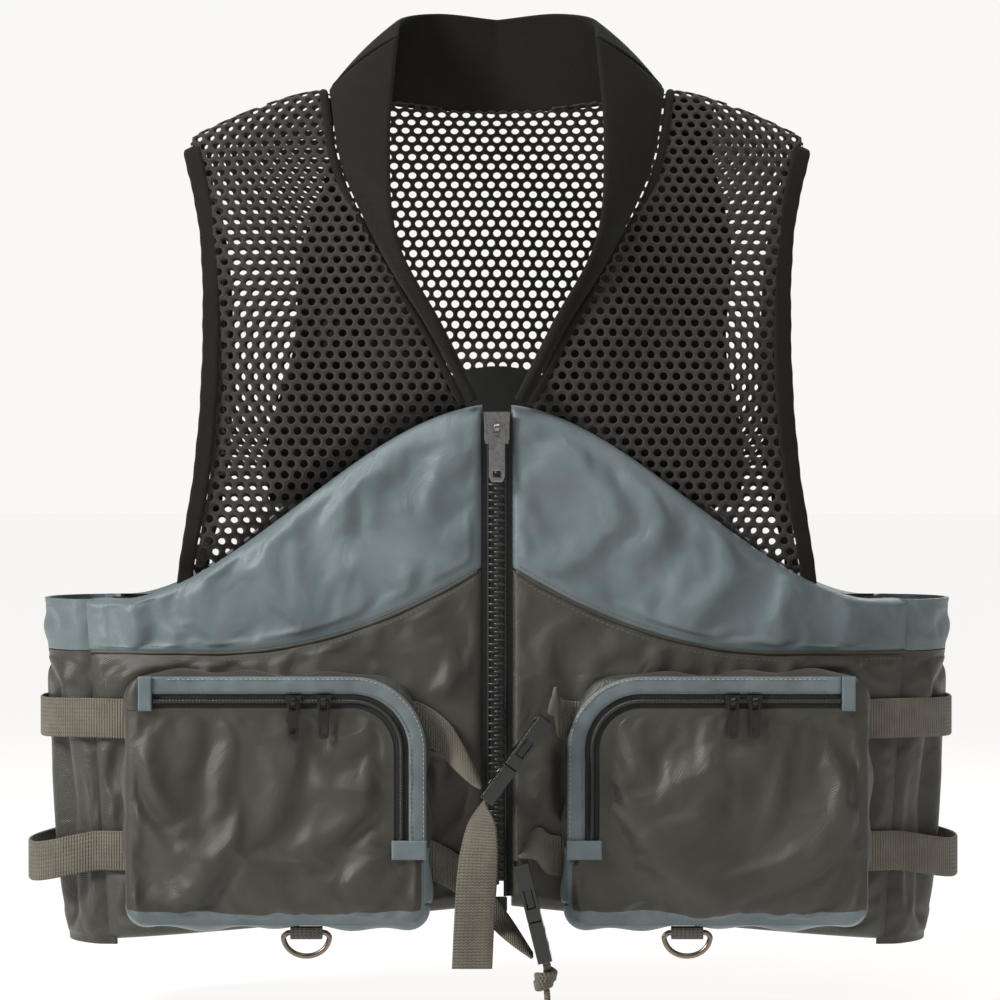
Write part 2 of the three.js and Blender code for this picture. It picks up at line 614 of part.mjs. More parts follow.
function ringTabGeometry() {
  const inside = ringWire / 2 + 0.5;
  const height = 2 * (inside + webbingThickness);
  const outside = inside + webbingThickness;
  const shape = new THREE.Shape().moveTo(outside, 1 - height / 2);
  shape.lineTo(outside, height / 2);
  shape.lineTo(-outside, height / 2);
  shape.lineTo(-outside, 1 - height / 2);
  shape.lineTo(-inside, -height / 2);
  shape.lineTo(inside, -height / 2);
  shape.holes.push(new THREE.Path().absarc(0, 0, inside, 0, 2 * Math.PI, true));
  const geometry = new THREE.ExtrudeGeometry(shape, { depth: ringTabWidth, bevelEnabled: false, curveSegments: 5 });
  return geometry.rotateY(Math.PI / 2).translate(-ringTabWidth / 2, 0, 0);
}
addPair(vest, 'd_ring', facingOut(ringGeometry()).translate(ringX, ringY, barZ), gunmetal);
addPair(vest, 'd_ring_tab', facingOut(ringTabGeometry()).translate(ringX, ringY, barZ), webbingCloth);

// ---- Side-release buckles, closed, hanging edge-on before the zip ----
// In a buckle's own frame x runs across it, y through it and z along it, with the socket's mouth at 0.
function socketGeometry() {
  const body = box(buckleWidth, buckleThickness, socketLength, 0, 0, socketLength / 2);
  const hollow = box(buckleWidth - 2 * wall - 2, buckleThickness - 2 * wall, socketLength - 8, 0, 0, (socketLength - 8) / 2 - 0.01);
  const webSlot = box(webbing + 1, buckleThickness + 2, 3, 0, 0, socketLength - 4);
  const windows = [-1, 1].map((side) => box(6, buckleThickness - 2 * wall, 12, side * buckleWidth / 2, 0, 14));
  return cut(body, hollow, webSlot, ...windows);
}
function plugGeometry() {
  const base = box(buckleWidth, buckleThickness, plugLength, 0, 0, -gap - plugLength / 2);
  const prongDepth = buckleThickness - 2 * wall - 1;
  const prongs = [-1, 1].map((side) => box(4.2, prongDepth, 24, side * (buckleWidth / 2 - wall - 3.7), 0, 11.5));
  const guide = box(3.4, prongDepth, 20, 0, 0, 9);
  const slots = [-8, -17].map((z) => box(webbing + 1, buckleThickness + 2, 3.2, 0, 0, z));
  return cut(joined(base, ...prongs, guide), ...slots);
}
const upperTilt = THREE.MathUtils.degToRad(36);
const lowerTilt = THREE.MathUtils.degToRad(-14);
function addBuckle(name, mouth, tilt) {
  const hang = new THREE.Group();
  hang.position.copy(mouth);
  hang.rotation.y = tilt;
  const edgeOn = new THREE.Group();
  edgeOn.rotation.z = Math.PI / 2;
  hang.add(edgeOn);
  add(edgeOn, `${name}_socket`, socketGeometry(), blackPlastic);
  add(edgeOn, `${name}_plug`, plugGeometry(), blackPlastic);
  vest.add(hang);
}
// A point of a buckle in the vest's frame: across its thickness, and along it.
const onBuckle = (mouth, tilt, across, along) => vec(
  mouth.x + across * Math.cos(tilt) + along * Math.sin(tilt), mouth.y,
  mouth.z - across * Math.sin(tilt) + along * Math.cos(tilt));
const upperMouth = vec(9, buckleY, hemZ + 91);
const lowerMouth = vec(23.5, buckleY, hemZ - 4);
addBuckle('upper_buckle', upperMouth, upperTilt);
addBuckle('lower_buckle', lowerMouth, lowerTilt);

// ---- Webbing ----
// A strap through stations, each a centre and the way across the webbing there.
function strap(stations, segments) {
  const centre = new THREE.CatmullRomCurve3(stations.map((s) => s.at), false, 'centripetal');
  const lean = new THREE.CatmullRomCurve3(stations.map((s) => s.across));
  const last = stations.length - 1;
  // Both curves take the same share of the stations, so the twist stays with its place.
  const surface = (u, v) => {
    const i = Math.min(last - 1, Math.floor(v * last));
    const at = centre.getPoint((i + (v * last - i)) / last);
    return at.addScaledVector(lean.getPoint(v).normalize(), (u - 0.5) * webbing);
  };
  return sheet(1, segments, surface, -webbingThickness / 2, webbingThickness / 2);
}
const upright = vec(0, 0, 1);
const edgeways = vec(0, 1, 0);
const halfTurn = vec(0, 0.7, 0.7);
const proud = webbingThickness / 2 + strapLift * webbing;

// From the back, round the side and along the front to endX, lying on the covers.
const strapStart = 2.5;
function bodyStations(side, height, endX) {
  const z = hemZ + height;
  const seamX = seamShare * halfWidth(z);
  const count = 26;
  return [...Array(count + 1).keys()].map((i) => {
    const t = mix(strapStart, endX / seamX, i / count);
    const p = aroundAt(t, z);
    const ahead = aroundAt(t - 0.01, z).sub(aroundAt(t + 0.01, z)).normalize();
    const out = vec(-ahead.y, ahead.x, 0);
    return { at: vec(side * (p.x + out.x * proud), p.y + out.y * proud, z), across: upright };
  });
}
const station = (x, y, z, across) => ({ at: vec(x, y, z), across });
const surfaceY = -bodyHalfDepth - proud;
const clearOfPlug = buckleThickness / 2 + webbingThickness + 1;

function leftStrap(height, mouth, tilt) {
  const z = hemZ + height;
  const bar = onBuckle(mouth, tilt, 0, socketLength + turnRoom * webbing);
  const stations = bodyStations(1, height, pocketInnerX + 8);
  stations.push(station(mix(pocketInnerX, bar.x, 0.35), surfaceY - 3, mix(z, bar.z, 0.3), upright));
  stations.push(station(mix(pocketInnerX, bar.x, 0.65), mix(surfaceY, buckleY, 0.45), bar.z + 6, halfTurn));
  stations.push(station(bar.x, buckleY, bar.z, edgeways));
  return strap(stations, 60);
}
function rightStrap(height, mouth, tilt, sag) {
  const z = hemZ + height;
  const bar = onBuckle(mouth, tilt, -clearOfPlug, -plugLength + 4);
  const stations = bodyStations(-1, height, pocketInnerX + 6);
  stations.push(station(mix(-pocketInnerX, bar.x, 0.3), surfaceY - 2, mix(z, bar.z, 0.2) - sag, upright));
  stations.push(station(mix(-pocketInnerX, bar.x, 0.7), mix(surfaceY, buckleY, 0.5), mix(z, bar.z, 0.65), halfTurn));
  stations.push(station(bar.x, buckleY, bar.z, edgeways));
  return strap(stations, 60);
}
add(vest, 'upper_strap_left', leftStrap(upperStrapHeight, upperMouth, upperTilt), webbingCloth);
add(vest, 'lower_strap_left', leftStrap(lowerStrapHeight, lowerMouth, lowerTilt), webbingCloth);
add(vest, 'upper_strap_right', rightStrap(upperStrapHeight, upperMouth, upperTilt, 2), webbingCloth);
add(vest, 'lower_strap_right', rightStrap(lowerStrapHeight, lowerMouth, lowerTilt, 0), webbingCloth);

// The free ends past the plugs: the upper hangs flat, the lower is short and knotted.
function tail(mouth, tilt, drop, drift, forward) {
  const top = onBuckle(mouth, tilt, 0, -plugLength - gap - 1.4);
  return [
    { at: top, across: edgeways },
    { at: vec(top.x + 0.25 * drift, top.y + 0.3 * forward, top.z - 0.15 * drop), across: vec(-0.7, 0.7, 0) },
    { at: vec(top.x + 0.6 * drift, top.y + 0.8 * forward, top.z - 0.45 * drop), across: vec(-1, 0.1, 0) },
    { at: vec(top.x + drift, top.y + forward, top.z - drop), across: vec(-1, 0, 0) },
  ];
}
const upperTailDrop = 104;
add(vest, 'upper_strap_tail', strap(tail(upperMouth, upperTilt, upperTailDrop, -8, 2), 12), webbingCloth);
const knotLength = 32;
const knotProfile = [[0, 0], [4, -3], [8.5, -8], [8.5, -15], [4.2, -20], [3.6, -26], [2.4, -knotLength], [0, -knotLength]];
const knot = new THREE.LatheGeometry(knotProfile.map(([r, z]) => new THREE.Vector2(r, z)).reverse(), 10);
knot.rotateX(Math.PI / 2);
const knotTop = onBuckle(lowerMouth, lowerTilt, 0, -plugLength - gap - 1);
add(vest, 'lower_strap_knot', facingOut(knot).translate(knotTop.x, knotTop.y, knotTop.z), webbingCloth);

export default vest;
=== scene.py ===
# A foam fishing vest with a mesh top, zipped and buckled, as it hangs from its shoulders.
# Metres. +X is the wearer's left, the front faces -Y and +Z is up.
import math
import bpy, bmesh
import numpy as np
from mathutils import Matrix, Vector


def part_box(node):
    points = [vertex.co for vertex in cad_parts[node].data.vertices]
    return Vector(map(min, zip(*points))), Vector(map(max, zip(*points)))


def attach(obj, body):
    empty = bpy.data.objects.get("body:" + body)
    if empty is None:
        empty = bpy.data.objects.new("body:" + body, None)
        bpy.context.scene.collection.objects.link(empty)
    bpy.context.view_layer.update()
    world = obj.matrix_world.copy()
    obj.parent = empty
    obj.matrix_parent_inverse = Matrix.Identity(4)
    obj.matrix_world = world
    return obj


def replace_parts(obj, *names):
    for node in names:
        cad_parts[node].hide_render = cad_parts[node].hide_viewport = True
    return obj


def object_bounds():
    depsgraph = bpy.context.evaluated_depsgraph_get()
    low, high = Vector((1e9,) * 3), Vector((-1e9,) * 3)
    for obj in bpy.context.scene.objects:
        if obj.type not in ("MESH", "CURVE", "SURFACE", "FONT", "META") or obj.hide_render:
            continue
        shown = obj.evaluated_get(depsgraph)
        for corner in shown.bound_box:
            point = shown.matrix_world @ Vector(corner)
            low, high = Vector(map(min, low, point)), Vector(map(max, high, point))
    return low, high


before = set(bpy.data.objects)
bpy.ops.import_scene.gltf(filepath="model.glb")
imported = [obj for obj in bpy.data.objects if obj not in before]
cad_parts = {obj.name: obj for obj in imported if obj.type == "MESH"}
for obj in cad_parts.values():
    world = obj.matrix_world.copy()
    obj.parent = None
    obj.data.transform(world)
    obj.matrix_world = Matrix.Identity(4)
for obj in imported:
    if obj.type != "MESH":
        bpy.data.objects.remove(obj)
cad_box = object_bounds()
scene = bpy.context.scene

# ---- Studio: the vest hangs just above a pale floor, lit softly from the front ----
# The camera stands square to the zip at chest height, as far off as a person would stand.
front_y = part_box("pocket_front_left")[0].y
floor_z = cad_box[0][2] - 0.012
view_centre = Vector((0.002, front_y, -0.259))
view_width = 0.622
camera_distance = 2.4

camera = bpy.data.objects.new("camera", bpy.data.cameras.new("camera"))
scene.collection.objects.link(camera)
camera.location = view_centre + Vector((0, -camera_distance, 0.03))
camera.rotation_euler = (view_centre - camera.location).to_track_quat("-Z", "Y").to_euler()
camera.data.sensor_width = 36
camera.data.lens = 36 * camera_distance / view_width
scene.camera = camera

def softbox(name, place, size, watts):
    light = bpy.data.objects.new(name, bpy.data.lights.new(name, "AREA"))
    scene.collection.objects.link(light)
    light.location = place
    light.rotation_euler = (view_centre - Vector(place)).to_track_quat("-Z", "Y").to_euler()
    light.data.shape = "RECTANGLE"
    light.data.size = light.data.size_y = size
    light.data.energy = watts
softbox("key_light", (-1.75, -0.95, 0.85), 0.7, 60)
softbox("top_light", (0.35, -0.75, 1.5), 0.9, 15)
softbox("fill_light", (1.4, -1.9, -0.1), 1.4, 2.5)
softbox("back_light", (0.3, 1.6, 0.9), 1.2, 16)
scene.world = bpy.data.worlds.new("studio")
scene.world.use_nodes = True
sky = scene.world.node_tree.nodes["Background"]
sky.inputs["Color"].default_value = (1.0, 0.99, 0.97, 1)
# The backdrop looks white, and lights the vest only faintly.
seen = scene.world.node_tree.nodes.new("ShaderNodeLightPath").outputs["Is Camera Ray"]
glow = scene.world.node_tree.nodes.new("ShaderNodeMapRange")
glow.inputs["To Min"].default_value, glow.inputs["To Max"].default_value = 0.13, 0.95
scene.world.node_tree.links.new(seen, glow.inputs["Value"])
scene.world.node_tree.links.new(glow.outputs["Result"], sky.inputs["Strength"])
scene.view_settings.view_transform = "Standard"

class Wire:
    """A value, colour or vector on its way through a material's nodes."""
    def __init__(self, finish, socket):
        self.finish, self.socket = finish, socket

    def _with(self, operation, first, second):
        if "VALUE" in (self.socket.type,
            getattr(getattr(second, "socket", None), "type", "")) and self.socket.type != "VECTOR":
            return self.finish.node("Math", {"operation": operation}, {0: first, 1: second})
        return self.finish.node("VectorMath", {"operation": operation}, {0: first, 1: second})

    def __add__(self, other): return self._with("ADD", self, other)
    def __radd__(self, other): return self._with("ADD", other, self)
    def __sub__(self, other): return self._with("SUBTRACT", self, other)
    def __rsub__(self, other): return self._with("SUBTRACT", other, self)
    def __mul__(self, other): return self._with("MULTIPLY", self, other)
    def __rmul__(self, other): return self._with("MULTIPLY", other, self)
    def __pow__(self, other): return self._with("POWER", self, other)

class Finish:
    """A procedural material: node() adds any node and gives back its output."""
    def __init__(self, name, slot):
        self.material, self.slot = bpy.data.materials.new(name), slot
        self.material.use_nodes = True
        self.tree = self.material.node_tree
        self.shader = self.tree.nodes["Principled BSDF"]

    def node(self, kind, settings={}, inputs={}, output=0):
        made = self.tree.nodes.new("ShaderNode" + kind)
        for key, value in settings.items():
            if key == "stops":
                for i, (place, colour) in enumerate(value):
                    stop = made.color_ramp.elements[i] if i < 2 else made.color_ramp.elements.new(place)
                    stop.position, stop.color = place, (*colour, 1)
            else:
                setattr(made, key, value)
        self.join(made, inputs)
        return Wire(self, made.outputs[output])

    def join(self, made, inputs):
        for key, value in inputs.items():
            if isinstance(value, Wire):
                self.tree.links.new(value.socket, made.inputs[key])
            else:
                made.inputs[key].default_value = value

    def wave(self, along, pitch):
        """A soft ridge every pitch metres along a value in metres, from -1 to 1."""
        return self.node("Math", {"operation": "SINE"}, {0: along * (2 * math.pi / pitch)})

    def blotches(self, size, detail=3.0):
        """Noise from 0 to 1 with lumps of about that size."""
        return self.node("TexNoise", {},
            {"Vector": self.node("TexCoord", output=3), "Scale": 1 / size, "Detail": detail})

    def axes(self, kind=3):
        """The three separate coordinates in metres: 3 is the object's own, 2 is UV."""
        split = self.node("SeparateXYZ", {}, {0: self.node("TexCoord", output=kind)})
        return [Wire(self, s) for s in split.socket.node.outputs]

    def blend(self, share, a, b):
        return self.node("Mix", {"data_type": "RGBA"}, {0: share, 6: a, 7: b}, output=2)

    def surface(self, inputs, height=None, strength=1.0, distance=0.0005):
        if height is not None:
            inputs = inputs | {"Normal": self.node("Bump", {},
                {"Height": height, "Strength": strength, "Distance": distance})}
        self.join(self.shader, inputs)
        return self

floor_finish = Finish("pale_floor",
    None).surface({"Base Color": (0.15, 0.15, 0.147, 1), "Roughness": 0.95, "Specular IOR Level": 0.1,
                                                  "Emission Color": (1, 0.99, 0.97, 1),
                                                  "Emission Strength": 0.90})
floor_mesh = bpy.data.meshes.new("floor")
floor_mesh.from_pydata([(x, y, floor_z) for x, y in ((-20, -20), (20, -20), (20, 20), (-20, 20))], [],
    [(0, 1, 2, 3)])
floor_mesh.materials.append(floor_finish.material)
floor = bpy.data.objects.new("floor", floor_mesh)
scene.collection.objects.link(floor)

# ---- Linings: dark nylon behind each foam slab, cut to the torso's own surface ----
# The torso is flat-fronted, square-shouldered in plan and narrows a little to the hem.
body_half_width, hem_taper = 0.293, 0.016
body_half_depth = 0.088
plan_power, seam_share = 2.6, 0.9
chest_z, back_chest_z, underarm_z = -0.199, -0.172, -0.323
band_seam_z, band_seam_drop = -0.296, 0.060
hem_z, hem_drop = -0.514, 0.029
neck_side_x, neck_side_z = 0.115, 0.005
shoulder_tip_x, shoulder_tip_z = 0.205, -0.029
shoulder_gap = 0.0012
side_seam_x = seam_share * body_half_width
zip_opening = 0.009
lining_depth = 0.0309

def mix(a, b, t): return a + (b - a) * t
def ease(t): return np.clip(t, 0, 1) ** 2 * (3 - 2 * np.clip(t, 0, 1))
def fall(x): return ease(np.abs(x) / (0.85 * body_half_width))
def front_top(x): return mix(chest_z, underarm_z, fall(x))
def back_top(x): return mix(back_chest_z, underarm_z, fall(x))
def hem_line(x): return hem_z - hem_drop * np.abs(x) / body_half_width
def band_seam(x):
    return band_seam_z - band_seam_drop * (1 - (1 - np.clip(np.abs(x) / (0.62 * body_half_width), 0, 1)) ** 2)
def shoulder_line(x):
    t = np.clip((np.abs(x) - neck_side_x) / (shoulder_tip_x - neck_side_x), 0, 2)
    return mix(neck_side_z, shoulder_tip_z, t ** 1.4)
def half_width(z):
    return body_half_width - hem_taper * np.clip((underarm_z - z) / (underarm_z - hem_z + hem_drop), 0, 1)
def depth_at(x, z, top, fullness):
    share = np.minimum(1, np.abs(x) / half_width(z))
    rise = np.clip((z - top) / (shoulder_line(x) - top), 0, 1)
    return shoulder_gap + body_half_depth * (1 - share ** plan_power) ** (1 / plan_power) * (1
        - rise ** fullness) ** 0.72
def front_at(x, z): return np.stack([x, -depth_at(x, z, front_top(x), 1.7), z], -1)
def back_at(x, z): return np.stack([x, depth_at(x, z, back_top(x), 2.1), z], -1)
def side_at(a, z):
    """Round the side, from the front side seam at a = 0 to the back one at a = 1."""
    angle = math.acos(seam_share ** (plan_power / 2)) * (2 * a - 1)
    across = np.cos(angle) ** (2 / plan_power)
    y = (body_half_depth + shoulder_gap) * np.sign(angle) * np.abs(np.sin(angle)) ** (2 / plan_power)
    return np.stack([half_width(z) * across, y, z], -1)
def narrowed(x, z): return x * (1 - (1 - half_width(z) / body_half_width) * np.abs(x) / side_seam_x)

def spaced(length, step, tight=0.012):
    """Shares from 0 to 1 along a length, closer together near both ends."""
    ends = tight * np.array([0, 0.03, 0.12, 0.28, 0.5, 0.75]) / length
    middle = np.linspace(tight / length, 1 - tight / length, max(3, round((length - 2 * tight) / step) + 1))
    return np.concatenate([ends, middle, 1 - ends[::-1]])

def grid_normals(points, turn=1):
    across, up = np.gradient(points, axis=0), np.gradient(points, axis=1)
    n = np.cross(across, up)
    return turn * n / np.maximum(np.linalg.norm(n, axis=-1, keepdims=True), 1e-12)

def make(name, points, faces, finish, body="root", smooth=True, uv=None):
    """A piece from points and faces, riding on a body, with its normals turned out."""
    mesh = bpy.data.meshes.new(name)
    mesh.from_pydata([tuple(p) for p in points], [], [tuple(f) for f in faces])
    if uv is not None:
        layer = mesh.uv_layers.new(name="cloth")
        loops = np.zeros(len(mesh.loops), int)
        mesh.loops.foreach_get("vertex_index", loops)
        layer.data.foreach_set("uv", np.asarray(uv)[loops].astype(np.float32).ravel())
    work = bmesh.new()
    work.from_mesh(mesh)
    bmesh.ops.recalc_face_normals(work, faces=work.faces)
    work.to_mesh(mesh)
    work.free()
    mesh.polygons.foreach_set("use_smooth", [smooth] * len(mesh.polygons))
    mesh.materials.append(finish.material)
    piece = bpy.data.objects.new(name, mesh)
    scene.collection.objects.link(piece)
    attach(piece, body)
    return piece

def two_skins(outer, inner):
    """Points and faces of the closed body between two grids of the same size."""
    nu, nv = outer.shape[:2]
    at = lambda i, j, k: (k * nu + i) * nv + j
    faces = []
    for i in range(nu - 1):
        for j in range(nv - 1):
            faces.append((at(i, j, 0), at(i + 1, j, 0), at(i + 1, j + 1, 0), at(i, j + 1, 0)))
            faces.append((at(i, j, 1), at(i, j + 1, 1), at(i + 1, j + 1, 1), at(i + 1, j, 1)))
    for i in range(nu - 1):
        faces.append((at(i, 0, 0), at(i, 0, 1), at(i + 1, 0, 1), at(i + 1, 0, 0)))
        faces.append((at(i, nv - 1, 0), at(i + 1, nv - 1, 0), at(i + 1, nv - 1, 1), at(i, nv - 1, 1)))
    for j in range(nv - 1):
        faces.append((at(0, j, 0), at(0, j + 1, 0), at(0, j + 1, 1), at(0, j, 1)))
        faces.append((at(nu - 1, j, 0), at(nu - 1, j, 1), at(nu - 1, j + 1, 1), at(nu - 1, j + 1, 0)))
    return np.concatenate([outer.reshape(-1, 3), inner.reshape(-1, 3)]), faces

def mirrored(points): return points * np.array([-1, 1, 1])
def sides(left):
    """The wearer's left with its points as they are, and the right with them mirrored."""
    return (("left", left), ("right", mirrored(left)))

def ridge(x, z, start, end, width, height):
    """A soft fold from start to end in (x, z), highest in its middle and fading at both ends."""
    (x0, z0), (x1, z1) = start, end
    length = math.hypot(x1 - x0, z1 - z0)
    along = ((x - x0) * (x1 - x0) + (z - z0) * (z1 - z0)) / length ** 2
    off = ((x - x0) * (z1 - z0) - (z - z0) * (x1 - x0)) / length
    off = off + 0.15 * length * np.sin(math.pi * along) * 0.3
    return height * np.exp(-(off / width) ** 2) * ease(along / 0.35) * ease((1 - along) / 0.35)

lining_nylon = Finish("lining_nylon", "lining_nylon")
x, y, z = lining_nylon.axes()
lining_nylon.surface(
    {"Base Color": lining_nylon.blend(lining_nylon.blotches(0.03), (0.018, 0.017, 0.015, 1),
    (0.034, 0.032, 0.028, 1)), "Roughness": 0.7},
    height=lining_nylon.wave(x, 0.0011) * lining_nylon.wave(z, 0.0011) + 3 * lining_nylon.blotches(0.012),
    distance=0.0006)

def quilted(x, z):
    return 0.0012 * np.sin(x / 0.017 + 2 * np.sin(z / 0.05)) * np.sin(z / 0.023 + 1.3 * np.sin(x / 0.04))

lining_inner_x = 0.019
u, v = np.meshgrid(spaced(0.24, 0.008, 0.004), spaced(0.28, 0.008, 0.004), indexing="ij")
x = mix(lining_inner_x, side_seam_x - 0.001, u)
z = mix(hem_line(x), front_top(x), v)
lining = front_at(narrowed(x, z), z)
lining_out = grid_normals(lining)
for side, sheet_points in sides(lining):
    out = lining_out if side == "left" else mirrored(lining_out)
    wrinkle = quilted(x + (0.3 if side == "right" else 0), z)[..., None]
    piece = make(f"front_lining_{side}",
        *two_skins(sheet_points - out * (lining_depth - 0.0002 + wrinkle.clip(-0.0012, 0)),
                                                     sheet_points - out * (lining_depth + 0.0012
                                                     - wrinkle.clip(-0.0012, 0))), lining_nylon)
    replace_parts(piece, f"front_lining_{side}")

u, v = np.meshgrid(spaced(0.52, 0.009, 0.004), spaced(0.33, 0.009, 0.004), indexing="ij")
x = mix(-side_seam_x + 0.001, side_seam_x - 0.001, u)
z = mix(hem_line(x), back_top(x), v)
lining = back_at(narrowed(x, z), z)
out = grid_normals(lining, -1)
wrinkle = quilted(x, z)[..., None]
piece = make("back_lining", *two_skins(lining - out * (lining_depth - 0.0002 + wrinkle.clip(-0.0012, 0)),
                                       lining - out * (lining_depth + 0.0012 - wrinkle.clip(-0.0012, 0))),
                                       lining_nylon)
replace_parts(piece, "back_lining")

# ---- Foam fronts: soft foam slabs in coated nylon, each grey below a raised seam and blue-grey above ----
# The cover is cut a little larger than its slab, so its slack stands in soft folds between the seams.
slab_thickness = 0.028
cloth_step = 0.0042

def settled(points, turn, slack, held, frames=16, sag=0.0, push=0.35, proud=0.007, dip=0.0026):
    """Lets cloth cut larger than its place by the share slack take that up in folds, held at its seams."""
    nu, nv = points.shape[:2]
    faces = [(i * nv + j, (i + 1) * nv + j, (i + 1) * nv + j + 1, i * nv + j + 1) for i in range(nu - 1)
        for j in range(nv - 1)]
    mesh = bpy.data.meshes.new("cut_cloth")
    mesh.from_pydata([tuple(p) for p in points.reshape(-1, 3)], [],
        faces if turn > 0 else [f[::-1] for f in faces])
    cloth = bpy.data.objects.new("cut_cloth", mesh)
    scene.collection.objects.link(cloth)
    sewn = cloth.vertex_groups.new(name="sewn")
    for i, weight in enumerate(held.ravel()):
        if weight > 0:
            sewn.add([i], float(weight), "REPLACE")
    modifier = cloth.modifiers.new("Cloth", "CLOTH")
    s = modifier.settings
    s.quality, s.mass = 5, 0.12
    s.tension_stiffness = s.compression_stiffness = 12
    s.shear_stiffness, s.bending_stiffness = 4, 0.12
    s.tension_damping = s.compression_damping = 3
    s.air_damping = 1
    s.vertex_group_mass = "sewn"
    s.shrink_min = s.shrink_max = -slack
    s.use_pressure, s.uniform_pressure_force = True, push
    s.effector_weights.gravity = sag
    modifier.collision_settings.use_collision = False
    modifier.point_cache.frame_end = frames
    for number in range(1, frames + 1):
        scene.frame_set(number)
    posed = cloth.evaluated_get(bpy.context.evaluated_depsgraph_get())
    moved = np.zeros(nu * nv * 3)
    posed.data.vertices.foreach_get("co", moved)
    moved = moved.reshape(nu, nv, 3)
    scene.frame_set(1)
    bpy.data.objects.remove(cloth)
    out = grid_normals(points, turn)
    step = moved - points
    height = (step * out).sum(-1, keepdims=True)
    capped = np.where(height > 0, proud * np.tanh(height / proud), dip * np.tanh(height / dip))
    sideways = step - height * out
    long = np.linalg.norm(sideways, axis=-1, keepdims=True)
    return points + capped * out + sideways * np.minimum(1, 0.004 / np.maximum(long, 1e-9))

def rounding(distance, drop, reach):
    """How far a slab's face lies below flat near an edge, as a quarter of an ellipse."""
    t = np.clip(distance / reach, 0, 1)
    return drop * (1 - np.sqrt(np.clip(1 - (1 - t) ** 2, 0, 1)))

strap_z = [hem_z + 0.032, hem_z + 0.116]
press_half_height, press_depth = 0.0185, 0.0004
back_strap_end_x = 0.11
def under_straps(z):
    """How far the webbing presses the cover flat there, from 0 to 1."""
    return sum(np.exp(-((z - height) / press_half_height) ** 8) for height in strap_z)

def slab(surface, turn, size, edges, slack, folds=None, proud=0.007, thickness=slab_thickness, sag=0.0,
    push=0.35):
    """A foam slab's two faces on surface(u, v). edges are (drop, reach) at the left, right, foot and top."""
    width, height = size
    u, v = np.meshgrid(spaced(width, cloth_step), spaced(height, cloth_step), indexing="ij")
    base = surface(u, v)
    out = grid_normals(base, turn)
    near = [u * width, (1 - u) * width, v * height, (1 - v) * height]
    down = np.sqrt(sum(rounding(d, *edge) ** 2 for d, edge in zip(near, edges)))[..., None]
    fade = ease(np.minimum.reduce(near) / 0.02)[..., None]
    face = base - out * np.minimum(down, thickness / 2 - 0.001)
    if folds is not None:
        face = face + out * folds(base[..., 0], base[..., 2])[..., None] * fade
    held = (np.minimum.reduce(near) < 0.009).astype(float)
    face = settled(face, turn, slack, held, sag=sag, push=push, proud=proud)
    pressed = under_straps(base[..., 2]) * (np.abs(base[..., 0]) > (0.0 if turn > 0 else back_strap_end_x))
    risen = ((face - base) * out).sum(-1)
    face = face - out * (np.maximum(risen + press_depth, 0) * pressed)[..., None]
    back_drop = np.sqrt(sum(rounding(d, min(0.008, e[0]), 0.01) ** 2 for d, e in zip(near, edges)))[..., None]
    back = base - out * (thickness - np.minimum(back_drop, thickness / 2 - 0.001))
    return face, back

def softened(piece, levels=1):
    smoother = piece.modifiers.new("soft", "SUBSURF")
    smoother.levels = smoother.render_levels = levels
    return piece

def nylon(name, slot, low, high, sheen):
    """Coated nylon: a tight plain weave with a satin glint, faint creases and a slow random change of tone,
    plus painted shade that darkens the creases' hollows.
    """
    cloth = Finish(name, slot)
    x, y, z = cloth.axes()
    weave = cloth.wave(x + y, 0.0013) * cloth.wave(z, 0.0013)
    crease_and_painted_shade = cloth.node("TexNoise", {},
        {"Vector": cloth.node("TexCoord", output=3), "Scale": 42.0, "Detail": 4.0, "Distortion": 1.1})
    # Painted shade: the crease noise that raises the bump also makes up a quarter of this colour's input, so
    # crease hollows are painted darker and crease ridges lighter. The slow blotches are random tone.
    tone_and_painted_crease_shade = cloth.node("ValToRGB", {"stops": [(0.3, low), (0.72, high)]},
        {0: cloth.blotches(0.045) * 0.75 + crease_and_painted_shade * 0.25})
    cloth.surface({"Base Color": tone_and_painted_crease_shade, "Roughness": cloth.blotches(0.02) * 0.16 + 0.34,
                   "Sheen Weight": sheen, "Sheen Roughness": 0.4, "Specular IOR Level": 0.42},
                  height=weave * 0.10 + crease_and_painted_shade * 1.9, strength=0.7, distance=0.0011)
    return cloth

grey_nylon = nylon("grey_nylon", "grey_nylon", (0.0285, 0.0268, 0.0195), (0.054, 0.0500, 0.0370), 0.10)
blue_nylon = nylon("blue_nylon", "blue_nylon", (0.082, 0.108, 0.117), (0.150, 0.186, 0.197), 0.14)

def cover_surface(u, v):
    x = mix(zip_opening, side_seam_x - 0.0004, u)
    z = mix(hem_line(x), band_seam(x) - 0.0003, v)
    return front_at(narrowed(x, z), z)
def band_surface(u, v):
    x = mix(zip_opening, side_seam_x - 0.0004, u)
    z = mix(band_seam(x) + 0.0004, front_top(x), v)
    return front_at(narrowed(x, z), z)

